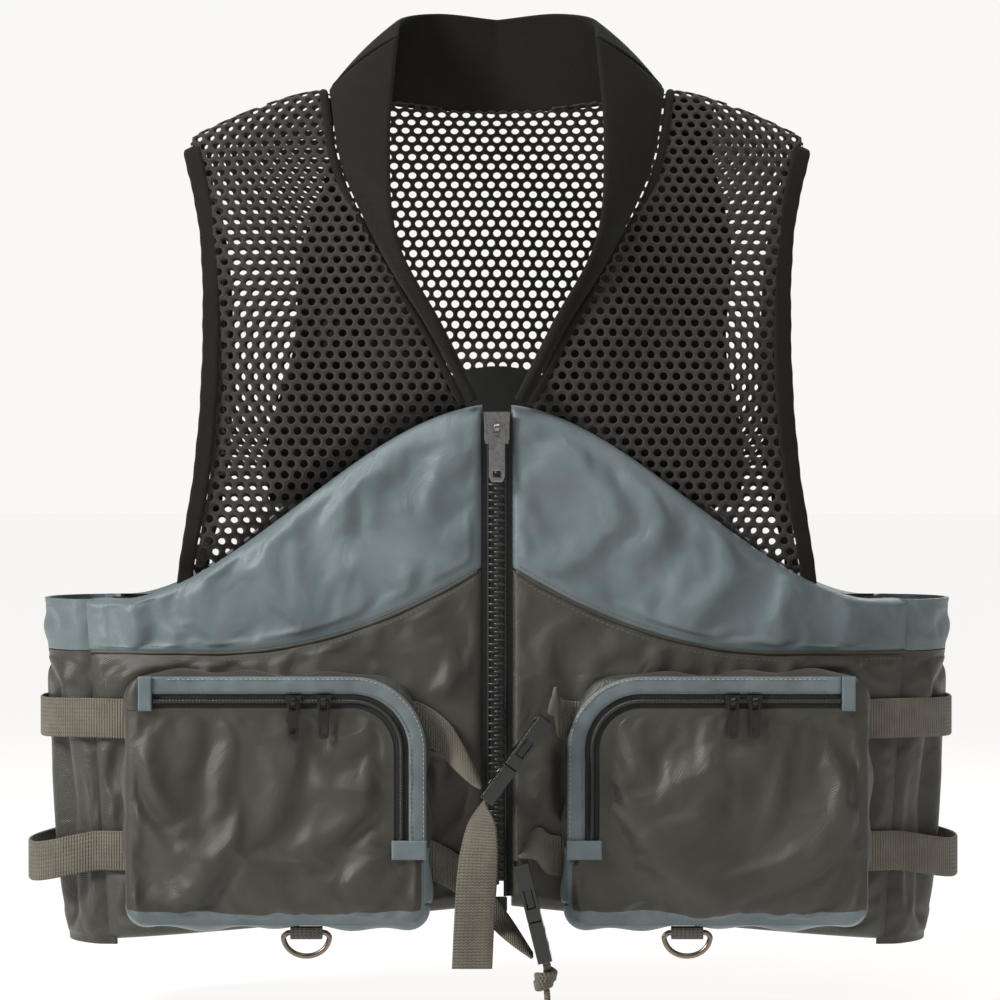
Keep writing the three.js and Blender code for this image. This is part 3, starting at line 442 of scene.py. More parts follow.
# Folds, each (start, end, width, height) in x and z on the wearer's left; the right side has its own.
cover_folds = {
    "left": [((0.03, -0.33), (0.02, -0.50), 0.007, 0.003), ((0.06, -0.31), (0.13, -0.35), 0.009, 0.003),
             ((0.15, -0.34), (0.24, -0.37), 0.008, 0.003), ((0.25, -0.36), (0.235, -0.53), 0.009, 0.005),
             ((0.10, -0.325), (0.10, -0.37), 0.006, 0.0025), ((0.18, -0.345), (0.185, -0.38), 0.006, 0.0025),
             ((0.245, -0.39), (0.25, -0.50), 0.006, -0.003), ((0.05, -0.52), (0.16, -0.535), 0.006, 0.003)],
    "right": [((0.02, -0.33), (0.035, -0.46), 0.008, 0.003), ((0.05, -0.315), (0.15, -0.345), 0.009, 0.004),
              ((0.12, -0.335), (0.14, -0.37), 0.006, 0.0025), ((0.19, -0.35), (0.25, -0.38), 0.008, 0.003),
              ((0.25, -0.37), (0.24, -0.54), 0.009, 0.005), ((0.235, -0.40), (0.255, -0.50), 0.006, -0.003),
              ((0.07, -0.31), (0.08, -0.36), 0.006, 0.0025), ((0.04, -0.515), (0.18, -0.53), 0.006, 0.003)]}
band_folds = {
    "left": [((0.03, -0.215), (0.085, -0.285), 0.010, 0.004), ((0.075, -0.225), (0.11, -0.30), 0.009, 0.003),
             ((0.13, -0.26), (0.15, -0.33), 0.010, 0.004), ((0.19, -0.295), (0.17, -0.345), 0.009, 0.003),
             ((0.215, -0.31), (0.225, -0.35), 0.010, 0.003), ((0.05, -0.30), (0.02, -0.24), 0.008, -0.002)],
    "right": [((0.02, -0.215), (0.05, -0.29), 0.011, 0.004), ((0.06, -0.225), (0.11, -0.29), 0.010, 0.004),
              ((0.12, -0.255), (0.16, -0.32), 0.011, 0.004), ((0.17, -0.285), (0.20, -0.34), 0.009, 0.003),
              ((0.235, -0.315), (0.22, -0.35), 0.009, 0.004), ((0.085, -0.24), (0.08, -0.30), 0.008, -0.002)]}

def laid_folds(folds):
    return lambda x, z: 1.35 * sum(ridge(x, z, *fold) for fold in folds)

front_edges = [(0.006, 0.007), (0.004, 0.012), (0.008, 0.010), (0.0022, 0.011)]
band_edges = [(0.006, 0.007), (0.003, 0.010), (0.0022, 0.011), (0.010, 0.012)]
for side in ("left", "right"):
    turn_over = mirrored if side == "right" else (lambda points: points)
    face, back = slab(cover_surface, 1, (0.25, 0.20), front_edges, 0.042, laid_folds(cover_folds[side]))
    cover = softened(make(f"front_cover_{side}", *two_skins(turn_over(face), turn_over(back)), grey_nylon))
    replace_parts(cover, f"front_cover_{side}", f"front_foam_{side}")
    face, back = slab(band_surface, 1, (0.25, 0.085), band_edges, 0.050, laid_folds(band_folds[side]),
        proud=0.008)
    band = softened(make(f"yoke_band_{side}", *two_skins(turn_over(face), turn_over(back)), blue_nylon))
    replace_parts(band, f"yoke_band_{side}")

# A grey welt is sewn into the seam between band and cover, with a row of stitches each side of it.
def stitched(name, path, out, colour, body="root", pitch=0.0034, length=0.0024, radius=0.00028, lift=0.0):
    """A row of thread dashes along a path, lying on a surface that faces out."""
    path = np.asarray(path, float)
    out = np.broadcast_to(np.asarray(out, float), path.shape)
    run = np.concatenate([[0], np.linalg.norm(np.diff(path, axis=0), axis=1).cumsum()])
    place = np.arange(pitch, run[-1] - pitch, pitch)
    at = lambda s, values: np.stack([np.interp(s, run, values[:, k]) for k in range(3)], -1)
    centre, ahead = at(place, path), at(place + 0.0003, path) - at(place - 0.0003, path)
    ahead /= np.linalg.norm(ahead, axis=1, keepdims=True)
    normal = at(place, out)
    normal /= np.linalg.norm(normal, axis=1, keepdims=True)
    over = np.cross(ahead, normal)
    dashes = []
    for c, a, o, n in zip(centre + normal * lift, ahead, over, normal):
        points = []
        for share, fat, sink in ((-0.5, 0.45, 0.9), (-0.3, 1, 0), (0.3, 1, 0), (0.5, 0.45, 0.9)):
            points += [c + a * length * share + o * radius * fat * math.cos(t) + n * radius
                * (fat * math.sin(t) - sink) for t in np.arange(6) * math.pi / 3]
        faces = [(6 * k + j, 6 * k + (j + 1) % 6, 6 * k + 6 + (j + 1) % 6, 6 * k + 6 + j) for k in range(3)
            for j in range(6)]
        dashes.append((points, faces + [tuple(range(6))[::-1], tuple(range(18, 24))]))
    return make(name, *gathered(dashes), colour, body)

def gathered(groups):
    """Several closed shells as the points and faces of one piece."""
    points, faces = [], []
    for some_points, some_faces in groups:
        faces += [tuple(i + len(points) for i in face) for face in some_faces]
        points += [tuple(p) for p in some_points]
    return points, faces

thread_pale = Finish("thread_pale",
    "grey_nylon").surface({"Base Color": (0.33, 0.32, 0.28, 1), "Roughness": 0.6})
thread_grey = Finish("thread_grey",
    "grey_nylon").surface({"Base Color": (0.115, 0.110, 0.095, 1), "Roughness": 0.6})
t = np.linspace(0, 2 * math.pi, 9)[:-1]
welt_x = np.linspace(zip_opening + 0.003, side_seam_x - 0.002, 90)
for side in ("left", "right"):
    z = band_seam(welt_x)
    line = front_at(narrowed(welt_x, z), z)
    out = np.stack([line[:, 0] * 0, line[:, 0] * 0 - 1, line[:, 0] * 0], 1)
    line[:, 1] += 0.0016 * (1 + 0.15 * np.sin(welt_x / 0.006))
    ahead = np.gradient(line, axis=0)
    over = np.cross(ahead, out)
    over /= np.linalg.norm(over, axis=1, keepdims=True)
    rings = line[:, None] + over[:, None] * (0.0013 * np.cos(t))[None, :, None] + out[:,
        None] * (0.0013 * np.sin(t))[None, :, None]
    n = len(line)
    faces = [(i * 8 + j, i * 8 + (j + 1) % 8, (i + 1) * 8 + (j + 1) % 8, (i + 1) * 8 + j)
        for i in range(n - 1) for j in range(8)]
    points = rings.reshape(-1, 3) if side == "left" else mirrored(rings.reshape(-1, 3))
    welt = make(f"band_welt_{side}", points,
        faces + [tuple(range(8))[::-1], tuple((n - 1) * 8 + j for j in range(8))], grey_nylon)
    for row, drop in (("upper", -0.0042), ("lower", 0.0042)):
        path = front_at(narrowed(welt_x, z), z - drop)
        path[:, 1] += 0.0006
        if side == "right":
            path = mirrored(path)
        stitched(f"band_stitches_{side}_{row}", path, (0, -1, 0), thread_grey)

# ---- Back slab: as the fronts, in one width, with a straight seam under its blue band ----
def back_cover_surface(u, v):
    x = mix(-side_seam_x + 0.0004, side_seam_x - 0.0004, u)
    z = mix(hem_line(x), band_seam(body_half_width) - 0.0003, v)
    return back_at(narrowed(x, z), z)
def back_band_surface(u, v):
    x = mix(-side_seam_x + 0.0004, side_seam_x - 0.0004, u)
    z = mix(band_seam(body_half_width) + 0.0004, back_top(x), v)
    return back_at(narrowed(x, z), z)
back_folds = [((-0.20, -0.38), (-0.16, -0.52), 0.012, 0.004), ((-0.08, -0.37), (-0.10, -0.50), 0.012, 0.003),
              ((0.02, -0.38), (0.05, -0.51), 0.012, 0.004), ((0.13, -0.37), (0.11, -0.50), 0.012, 0.003),
              ((0.22, -0.38), (0.20, -0.52), 0.012, 0.004)]
back_band_folds = [((-0.17, -0.28), (-0.19, -0.345), 0.010, 0.004),
    ((-0.09, -0.21), (-0.07, -0.33), 0.012, 0.004),
                   ((0.0, -0.19), (0.02, -0.33), 0.012, 0.003), ((0.10, -0.21), (0.07, -0.33), 0.012, 0.004),
                   ((0.18, -0.28), (0.16, -0.345), 0.010, 0.004)]
face, back = slab(back_cover_surface, -1, (0.52, 0.18),
    [(0.004, 0.012), (0.004, 0.012), (0.008, 0.010), (0.0022, 0.011)],
                  0.034, laid_folds(back_folds))
cover = softened(make("back_cover", *two_skins(face, back), grey_nylon))
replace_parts(cover, "back_cover", "back_foam")
face, back = slab(back_band_surface, -1, (0.52, 0.13),
    [(0.003, 0.010), (0.003, 0.010), (0.0022, 0.011), (0.010, 0.012)],
                  0.040, laid_folds(back_band_folds), proud=0.008)
band = softened(make("back_band", *two_skins(face, back), blue_nylon))
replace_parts(band, "back_band")

# ---- Side panels: two cloths without foam where the vest folds, grey with the blue band above ----
# They hang a little slack between the front and back seams, in upright folds.
side_thickness = 0.0028
side_foot = hem_z - hem_drop
side_seam = band_seam_z - band_seam_drop

def side_cloth(a0, a1, low, high, slack):
    u, v = np.meshgrid(spaced(0.16, cloth_step, 0.006), spaced(high - low, cloth_step, 0.006), indexing="ij")
    base = side_at(mix(a0, a1, u), mix(low, high, v))
    out = grid_normals(base)
    base = base - out * (0.0045 * ease(1 - np.minimum(u, 1 - u) * 0.16 / 0.014))[..., None]
    fade = (ease(np.minimum(u, 1 - u) * 0.16 / 0.025)
        * ease(np.minimum(v, 1 - v) * (high - low) / 0.02))[..., None]
    folds = 0.003 * np.sin(u * 13 + 1.2 * np.sin(v * 4)) + 0.0015 * np.sin(u * 31 + v * 3)
    face = base + out * folds[..., None] * fade
    held = ((np.minimum(u, 1 - u) * 0.16 < 0.006)
        | (np.minimum(v, 1 - v) * (high - low) < 0.006)).astype(float)
    face = settled(face, 1, slack, held, push=0.1, proud=0.006, dip=0.004)
    return face, face - grid_normals(face) * side_thickness

for side in ("left", "right"):
    turn_over = mirrored if side == "right" else (lambda points: points)
    face, back = side_cloth(-0.035, 1.035, side_foot, side_seam, 0.02)
    panel = softened(make(f"side_panel_{side}", *two_skins(turn_over(face), turn_over(back)), grey_nylon))
    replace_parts(panel, f"side_panel_{side}")
    face, back = side_cloth(-0.035, 1.035, side_seam + 0.0004, underarm_z, 0.01)
    panel = softened(make(f"side_band_{side}", *two_skins(turn_over(face), turn_over(back)), blue_nylon))
    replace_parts(panel, f"yoke_band_{side}")

# ---- Mesh top: one layer of open knit with round holes, sewn to the slabs' top edges ----
# The holes lie in staggered rows; the knit between them is rounded, and it runs in under the bindings.
hole_pitch, hole_radius = 0.0080, 0.00262
knit_half = 0.0007
binding_width = 0.012
seam_gap = 0.0016
neck_bottom_x, back_neck_z = 0.024, -0.012
armhole_x, armhole_foot_x = 0.187, 0.203

def smooth_curve(points, shares):
    """Points at those shares, 0 to 1, of the centripetal curve through points."""
    p = np.asarray(points, float)
    p = np.concatenate([[2 * p[0] - p[1]], p, [2 * p[-1] - p[-2]]])
    place = np.clip(np.asarray(shares, float), 0, 1) * (len(p) - 3)
    i = np.minimum(place.astype(int), len(p) - 4)
    w = (place - i)[:, None]
    a, b, c, d = p[i], p[i + 1], p[i + 2], p[i + 3]
    gap = lambda m, n: np.maximum(np.linalg.norm(n - m, axis=-1, keepdims=True) ** 0.5, 1e-6)
    g0, g1, g2 = gap(a, b), gap(b, c), gap(c, d)
    t1 = ((b - a) / g0 - (c - a) / (g0 + g1) + (c - b) / g1) * g1
    t2 = ((c - b) / g1 - (d - b) / (g1 + g2) + (d - c) / g2) * g1
    return b + t1 * w + (3 * (c - b) - 2 * t1 - t2) * w ** 2 + (2 * (b - c) + t1 + t2) * w ** 3

def rise_from(low, high, *steps):
    return [(x, mix(low, high, share)) for x, share in steps]
neck_points = [(neck_bottom_x, chest_z),
    *rise_from(chest_z, neck_side_z, (0.050, 0.24), (0.0786, 0.47), (0.105, 0.74)),
               (neck_side_x, neck_side_z)]
def neck_line(v): return smooth_curve(neck_points, v)
def armhole_line(top, v):
    low = float(top(armhole_foot_x))
    return smooth_curve([(armhole_foot_x, low),
        *rise_from(low, shoulder_tip_z, (0.191, 0.27), (armhole_x, 0.55), (0.191, 0.8)),
                         (shoulder_tip_x, shoulder_tip_z)], v)
def armhole_point(top, inset, v):
    """In x and z, a point on an armhole or that far inside it, kept on the top and shoulder lines."""
    edge = armhole_line(top, v)
    x = edge[:, 0] - inset
    z = edge[:, 1] + (1 - v) ** 6 * (top(x) - top(edge[:, 0]) + seam_gap) + v ** 6 * (shoulder_line(x)
        - shoulder_line(edge[:, 0]))
    return x, z
def back_neck_line(x):
    t = np.minimum(1, np.abs(x) / neck_side_x)
    return np.where(np.abs(x) > neck_side_x, shoulder_line(x), mix(back_neck_z, neck_side_z, t ** 2))

def open_knit(name, at, top, high, left_limit, right_limit, x_low, x_high, billow, finish):
    """A knit with real holes on the surface at(x, z), from under the top line up to high(x)."""
    columns = np.linspace(x_low - 0.01, x_high + 0.01, 90)
    share = np.sin(np.linspace(0, 1, 260) * math.pi / 2)
    foot = top(columns) - 0.03
    z_table = foot[:, None] + (high(columns) - foot)[:, None] * share[None, :]
    ys = at(np.repeat(columns[:, None], 260, 1), z_table)[..., 1]
    run = np.hypot(np.diff(z_table, axis=1), np.diff(ys, axis=1)).cumsum(axis=1)
    s_table = np.concatenate([foot[:, None], foot[:, None] + run], 1)

    def height_at(x, s):
        place = np.clip((x - columns[0]) / (columns[1] - columns[0]), 0, len(columns) - 1.001)
        i, w = place.astype(int), place - place.astype(int)
        z = np.zeros_like(x)
        for c in range(len(columns) - 1):
            pick = i == c
            if pick.any():
                z[pick] = mix(np.interp(s[pick], s_table[c], z_table[c]),
                    np.interp(s[pick], s_table[c + 1], z_table[c + 1]), w[pick])
        return z

    row_step = hole_pitch * math.sqrt(3) / 2
    rows, across = np.arange(-60, 90), np.arange(-30, 31)
    cx = (across[None, :] + 0.5 * (rows[:, None] % 2)) * hole_pitch + (x_low + x_high) / 2
    cs = np.repeat(rows[:, None] * row_step + high(0.0) - 0.2, len(across), 1)
    cx, cs = cx.ravel(), cs.ravel()
    cz = height_at(cx, cs)
    s_top = np.interp(cx, columns, s_table[:, -1])
    keep = (cx > left_limit(cz)) & (cx < right_limit(cz)) & (cs < s_top) & (cz > top(cx) - 0.006) & (cs
        > np.interp(cx, columns, foot) + 0.002)
    cx, cs = cx[keep], cs[keep]
    turns = np.radians(np.arange(12) * 30.0)
    reach = np.where(np.arange(12) % 2 == 0, hole_pitch / 2, hole_pitch / math.sqrt(3))
    ox, os_ = cx[:, None] + reach * np.cos(turns), cs[:, None] + reach * np.sin(turns)
    rx, rs = cx[:, None] + hole_radius * np.cos(turns), cs[:, None] + hole_radius * np.sin(turns)
    keys, shared = np.unique(np.round(np.stack([ox.ravel(), os_.ravel()], 1) * 2e4).astype(np.int64), axis=0,
        return_inverse=True)
    shared = shared.reshape(-1, 12)
    flat_x = np.concatenate([keys[:, 0] / 2e4, rx.ravel()])
    flat_s = np.concatenate([keys[:, 1] / 2e4, rs.ravel()])
    z = height_at(flat_x, np.minimum(flat_s, np.interp(flat_x, columns, s_table[:, -1])))
    flat_x = np.clip(flat_x, left_limit(z), right_limit(z))
    z = np.maximum(z, top(flat_x) - 0.006)

    def placed(x, z):
        p = at(x, z)
        tuck = 0.0130 * ease((top(x) + 0.020 - z) / 0.022)
        p[..., 1] += np.sign(0.5 - (p[..., 1] < 0)) * (-tuck) + billow(x, z)
        return p
    here = placed(flat_x, z)
    tiny = 2e-4
    out = np.cross(placed(flat_x + tiny, z) - placed(flat_x - tiny, z),
        placed(flat_x, z + tiny) - placed(flat_x, z - tiny))
    out /= np.linalg.norm(out, axis=1, keepdims=True)
    count, rim = len(here), len(keys)
    thick = np.full(count, knit_half)
    thick[rim:] *= 0.55
    points = np.concatenate([here + out * thick[:, None], here - out * thick[:, None]])
    ring = rim + np.arange(len(cx) * 12).reshape(-1, 12)
    outer_next, ring_next = np.roll(shared, -1, 1), np.roll(ring, -1, 1)
    faces = [np.stack(q, -1).reshape(-1, 4) for q in (
        (shared, outer_next, ring_next, ring),
        (count + shared, count + ring, count + ring_next, count + outer_next),
        (ring, ring_next, count + ring_next, count + ring))]
    edges = np.stack([shared, outer_next], -1).reshape(-1, 2)
    _, first, many = np.unique(np.sort(edges, 1), axis=0, return_index=True, return_counts=True)
    lone = edges[first[many == 1]]
    faces.append(np.stack([lone[:, 0], count + lone[:, 0], count + lone[:, 1], lone[:, 1]], -1))
    return make(name, points, [tuple(f) for f in np.concatenate(faces).tolist()], finish)

brown_knit = Finish("brown_knit", "brown_mesh")
x, y, z = brown_knit.axes()
brown_knit.surface(
    {"Base Color": brown_knit.blend(brown_knit.blotches(0.02), (0.012, 0.0075, 0.0048, 1),
    (0.027, 0.0185, 0.0125, 1)),
     "Roughness": 0.62, "Sheen Weight": 0.12, "Specular IOR Level": 0.4},
    height=brown_knit.wave(x + 0.4 * z, 0.0011) * brown_knit.wave(z - 0.4 * x, 0.0013), strength=0.7,
    distance=0.0004)

v = np.linspace(0, 1, 120)
neck_xs, neck_zs = neck_line(v).T
def neck_limit(z): return np.interp(z, neck_zs, neck_xs) - 0.0050
def arm_limit(top):
    x, z = armhole_point(top, binding_width / 2, v)
    order = np.argsort(z)
    return lambda height: np.interp(height, z[order], x[order])
def front_billow(x, z):
    return 0.0026 * np.sin(x / 0.0135 + 1.4 * np.sin(z / 0.05)) * ease((z - front_top(x))
        / 0.05) * ease((-0.03 - z) / 0.05)
def back_billow(x, z):
    return 0.004 * np.sin(x / 0.024 + 0.8 * np.sin(z / 0.05)) * ease((z - back_top(x))
        / 0.05) * ease((-0.03 - z) / 0.05)

front_knit = open_knit("front_mesh_left", front_at, front_top, shoulder_line, neck_limit,
    arm_limit(front_top),
                       0.02, 0.206, front_billow, brown_knit)
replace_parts(front_knit, "front_mesh_left")
mesh_points = np.zeros(len(front_knit.data.vertices) * 3)
front_knit.data.vertices.foreach_get("co", mesh_points)
right_knit = make("front_mesh_right", mirrored(mesh_points.reshape(-1, 3)) ,
    [tuple(f.vertices) for f in front_knit.data.polygons], brown_knit)
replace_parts(right_knit, "front_mesh_right")

back_arm = arm_limit(back_top)
back_knit = open_knit("back_mesh", back_at, back_top,
    lambda x: back_neck_line(x) + 0.006 * ease((0.1 - np.abs(x)) / 0.03), lambda z: -back_arm(z), back_arm,
                      -0.206, 0.206, back_billow, brown_knit)
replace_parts(back_knit, "back_mesh")

# ---- Sweeps: everything cut as a narrow strip follows its line with a rounded section ----
def swept(name, centres, across, section, finish, body="root", turn=1, size=None, ends=True):
    """A strip along centres. across is the way over it at each, section its outline (over it, out of it)."""
    centres, across = np.asarray(centres, float), np.asarray(across, float)
    across = across / np.linalg.norm(across, axis=1, keepdims=True)
    ahead = np.gradient(centres, axis=0)
    out = turn * np.cross(across, ahead)
    out /= np.linalg.norm(out, axis=1, keepdims=True)
    section = np.asarray(section, float)
    n, m = len(centres), len(section)
    size = np.ones((n, 1, 1)) if size is None else np.asarray(size).reshape(n, 1, 1)
    points = centres[:, None] + size * (section[None, :, :1] * across[:, None] + section[None, :, 1:]
        * out[:, None])
    faces = [(i * m + j, i * m + (j + 1) % m, (i + 1) * m + (j + 1) % m, (i + 1) * m + j)
        for i in range(n - 1) for j in range(m)]
    if ends:
        faces += [tuple(range(m))[::-1], tuple((n - 1) * m + j for j in range(m))]
    else:
        faces += [((n - 1) * m + j, (n - 1) * m + (j + 1) % m, (j + 1) % m, j) for j in range(m)]
    run = np.concatenate([[0], np.linalg.norm(np.diff(centres, axis=0), axis=1).cumsum()])
    uv = np.stack([np.repeat(section[None, :, 0], n, 0), np.repeat(run[:, None], m, 1)], -1).reshape(-1, 2)
    return make(name, points.reshape(-1, 3), faces, finish, body, uv=uv)

def flat_section(width, thickness, around=5):
    """A strip's outline with round edges, plus points across its two faces."""
    r, half = thickness / 2, width / 2 - thickness / 2
    turn = np.linspace(-math.pi / 2, math.pi / 2, around)
    right = [(half + r * math.cos(t), r * math.sin(t)) for t in turn]
    top = [(half * s, r) for s in (0.5, 0, -0.5)]
    left = [(-half - r * math.cos(t), r * math.sin(-t)) for t in turn]
    foot = [(half * s, -r) for s in (-0.5, 0, 0.5)]
    return right + top + left + foot

def round_section(radius, around=12):
    return [(radius * math.cos(t), radius * math.sin(t))
        for t in np.linspace(0, 2 * math.pi, around, endpoint=False)]

# ---- Armhole bindings: black knit folded over the mesh edge, from the front slab to the back ----
binding_thickness = 0.0040
black_knit = Finish("black_knit", "black_knit")
x, y, z = black_knit.axes()
black_knit.surface(
    {"Base Color": black_knit.blend(black_knit.blotches(0.015), (0.0028, 0.0022, 0.0016, 1),
    (0.0070, 0.0056, 0.0042, 1)),
     "Roughness": 0.82, "Sheen Weight": 0.05, "Specular IOR Level": 0.22},
    height=black_knit.wave(x + y, 0.0009) * 0.4 + black_knit.wave(z, 0.0014) * 0.3
    + black_knit.blotches(0.006), strength=0.5, distance=0.0005)

def binding_path(inset, count=70):
    v = np.linspace(0, 1, count)
    x, z = armhole_point(front_top, inset, v)
    front = front_at(x, z)
    x, z = armhole_point(back_top, inset, v[::-1])
    back = back_at(x, z)
    for run, top, way in ((front, front_top, 1), (back, back_top, -1)):
        run[:, 1] += way * 0.0085 * ease((top(run[:, 0]) + 0.022 - run[:, 2]) / 0.024)
    sunk = np.array([0, 0, -0.011])
    return np.concatenate([front[:1] + sunk, front[:-2], back[2:], back[-1:] + sunk])
middle = binding_path(binding_width / 2)
edge, inside = binding_path(0.0), binding_path(binding_width)
pucker = 1 + 0.05 * np.sin(np.arange(len(middle)) * 1.9) + 0.03 * np.sin(np.arange(len(middle)) * 0.7)
for side, path, over in (("left", middle, edge - inside),
    ("right", mirrored(middle), mirrored(edge - inside))):
    piece = softened(swept(f"armhole_binding_{side}", path, over,
        flat_section(binding_width, binding_thickness), black_knit, size=pucker))
    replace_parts(piece, f"armhole_binding_{side}")

# ---- Neck: piping on the seam, a folded black knit facing each side, and the collar behind ----
piping_width, knit_cloth = 0.005, 0.0034
collar_top_x, collar_top_z = 0.064, 0.052
v = np.linspace(0, 1, 90)
piped = neck_line(v)
piping_path = front_at(piped[:, 0] - piping_width / 2, piped[:, 1])
piping_over = front_at(piped[:, 0], piped[:, 1]) - front_at(piped[:, 0] - piping_width, piped[:, 1])
for side, path, over in (("left", piping_path, piping_over),
    ("right", mirrored(piping_path), mirrored(piping_over))):
    piece = softened(swept(f"neck_piping_{side}", path, over, flat_section(piping_width + 0.0012, 0.0046),
        black_knit))
    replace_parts(piece, f"neck_piping_{side}")

facing_out = lambda v: front_at(neck_line(v)[:, 0] - piping_width - seam_gap, neck_line(v)[:, 1])
collar_front = (collar_top_x, -0.014, collar_top_z - 0.014)
facing_fold = [(zip_opening + 0.002, -body_half_depth + 0.001, chest_z + 0.003),
               (neck_bottom_x + 0.010, -body_half_depth, mix(chest_z, neck_side_z, 0.24)),
               (collar_top_x - 0.002, -body_half_depth + 0.006, mix(chest_z, neck_side_z, 0.5)),
               (collar_top_x + 0.004, -0.6 * body_half_depth, mix(chest_z, neck_side_z, 0.82)), collar_front]

def knit_fold(name, low_line, high_line, across, bulge, turn, replaced, size):
    """A doubled knit between two lines, plump between its seam and its fold."""
    u = spaced(size[0], size[0] / across, min(0.004, size[0] / 4))[:, None, None]
    a, b = low_line[None], high_line[None]
    base = a + (b - a) * u
    out = grid_normals(base, turn)
    du = np.minimum(u, 1 - u) * np.linalg.norm(b - a, axis=-1, keepdims=True)
    half = knit_cloth / 2 * np.sqrt(np.clip(1 - (1 - np.clip(du / 0.0022, 0, 1)) ** 2, 0.06, 1))
    crown = out * bulge * np.sin(math.pi * u) ** 0.8
    piece = softened(make(name, *two_skins(base + crown + out * half, base + crown - out * half), black_knit))
    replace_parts(piece, replaced)
    return piece
fold_line, seam_line_points = smooth_curve(facing_fold, v), facing_out(v)
for side in ("left", "right"):
    turn_over = mirrored if side == "right" else (lambda points: points)
    piece = knit_fold(f"neck_facing_{side}", turn_over(fold_line), turn_over(seam_line_points), 12, 0.0025,
                      1 if side == "left" else -1, f"neck_facing_{side}", (0.04, 0.25))

collar_base = [tuple(facing_out(np.array([1.0]))[0]),
    tuple(back_at(np.array(neck_side_x - 0.008), np.array(neck_side_z - 0.001))),
               tuple(back_at(np.array(0.6 * neck_side_x),
               back_neck_line(np.array(0.6 * neck_side_x)) + 0.001)),
               tuple(back_at(np.array(0.0), np.array(back_neck_z + 0.002)))]
collar_rise = 0.007
collar_rim = [collar_front, (collar_top_x - 0.003, 0.006, collar_top_z - 0.005 + 0.7 * collar_rise),
              (0.62 * collar_top_x, 0.026, collar_top_z - 0.001 + collar_rise),
              (0, 0.034, collar_top_z + 0.4 * collar_rise)]
s = np.linspace(0.0, 1, 60)
rim_half, base_half = smooth_curve(collar_rim, s), smooth_curve(collar_base, s)
base_half = rim_half + (base_half - rim_half) * 0.97
whole = lambda half: np.concatenate([half, mirrored(half)[::-1][1:]])
collar = knit_fold("collar", whole(rim_half), whole(base_half), 14, 0.003, 1, "collar", (0.07, 0.3))

# ---- Inner layer: a black knit behind each front's mesh, from the neck seam to a fold by the armhole ----
for side, fold_x in (("left", (0.142, 0.152)), ("right", (0.108, 0.142))):
    v = spaced(0.24, 0.006, 0.004)
    u = np.linspace(0, 1, 26)
    z = np.repeat(mix(-0.262, 0.0, v)[None], 26, 0)
    inner = np.interp(z, neck_zs, neck_xs) - 0.0045
    outer = mix(fold_x[1], fold_x[0], ease((z + 0.25) / 0.25)) + 0.004 * np.sin(z / 0.021)
    x = mix(inner, outer, u[:, None])
    z = np.minimum(z, shoulder_line(x) - 0.004)
    z = np.maximum(z, front_top(x) - 0.012)
    layer = front_at(x, z)
    behind = 0.0058 + 0.0022 * np.sin(x / 0.011 + z / 0.03) + 0.009 * ease((front_top(x) + 0.022 - z) / 0.024)
    layer[..., 1] += behind
    if side == "right":
        layer = mirrored(layer)
    inset = np.zeros_like(layer)
    inset[..., 1] = 0.0009
    piece = make(f"inner_layer_{side}", *two_skins(layer, layer + inset), black_knit)
    0.021 if side == "left" else 0.016

# ---- Centre zip: moulded black teeth on woven tape, a box at the foot and a gunmetal slider ----
tooth_pitch, tooth_height, tooth_reach = 0.005, 0.0023, 0.0016
zip_top, zip_foot = chest_z - 0.006, hem_z + 0.006
teeth_front_y = -body_half_depth - 0.0015
tape_y = -body_half_depth + 0.0015 + 0.0004 + 0.0005
zip_black = Finish("zip_black", "zip_black")
zip_black.surface({"Base Color": (0.012, 0.0115, 0.011, 1),
    "Roughness": zip_black.blotches(0.004) * 0.2 + 0.28, "Specular IOR Level": 0.5})
zip_tape = Finish("zip_tape", "zip_black")
x, y, z = zip_tape.axes()
zip_tape.surface({"Base Color": zip_tape.blend(zip_tape.blotches(0.01), (0.010, 0.0095, 0.009, 1),
    (0.020, 0.019, 0.018, 1)), "Roughness": 0.8},
                 height=zip_tape.wave(x, 0.0016) * 0.6 + zip_tape.wave(z + x, 0.0012) * zip_tape.wave(z - x,
                 0.0012), strength=0.8, distance=0.0004)

def tooth(reach_to, z, side):
    """One moulded tooth: a rounded head on a waist, its edges eased front and back."""
    outline = [(0.0052, 0.30), (0.0030, 0.34), (0.0012, 0.36), (-0.0003, 0.50), (-0.0012, 0.42),
        (reach_to, 0.2),
               (reach_to, -0.2), (-0.0012, -0.42), (-0.0003, -0.50), (0.0012, -0.36), (0.0030, -0.34),
               (0.0052, -0.30)]
    levels = [(teeth_front_y, 0.78), (teeth_front_y + 0.0004, 0.96), (teeth_front_y + 0.0015, 1.0),
        (teeth_front_y + 0.0040, 1.0), (teeth_front_y + 0.0048, 0.8)]
    m = len(outline)
    points = [(side * (0.0018 + (x - 0.0018) * (0.9 + 0.1 * k)), y, z + h * tooth_height * k) for y,
        k in levels for x, h in outline]
    faces = [(a * m + j, a * m + (j + 1) % m, (a + 1) * m + (j + 1) % m, (a + 1) * m + j)
        for a in range(len(levels) - 1) for j in range(m)]
    return points, faces + [tuple(range(m))[::-1], tuple(4 * m + j for j in range(m))]

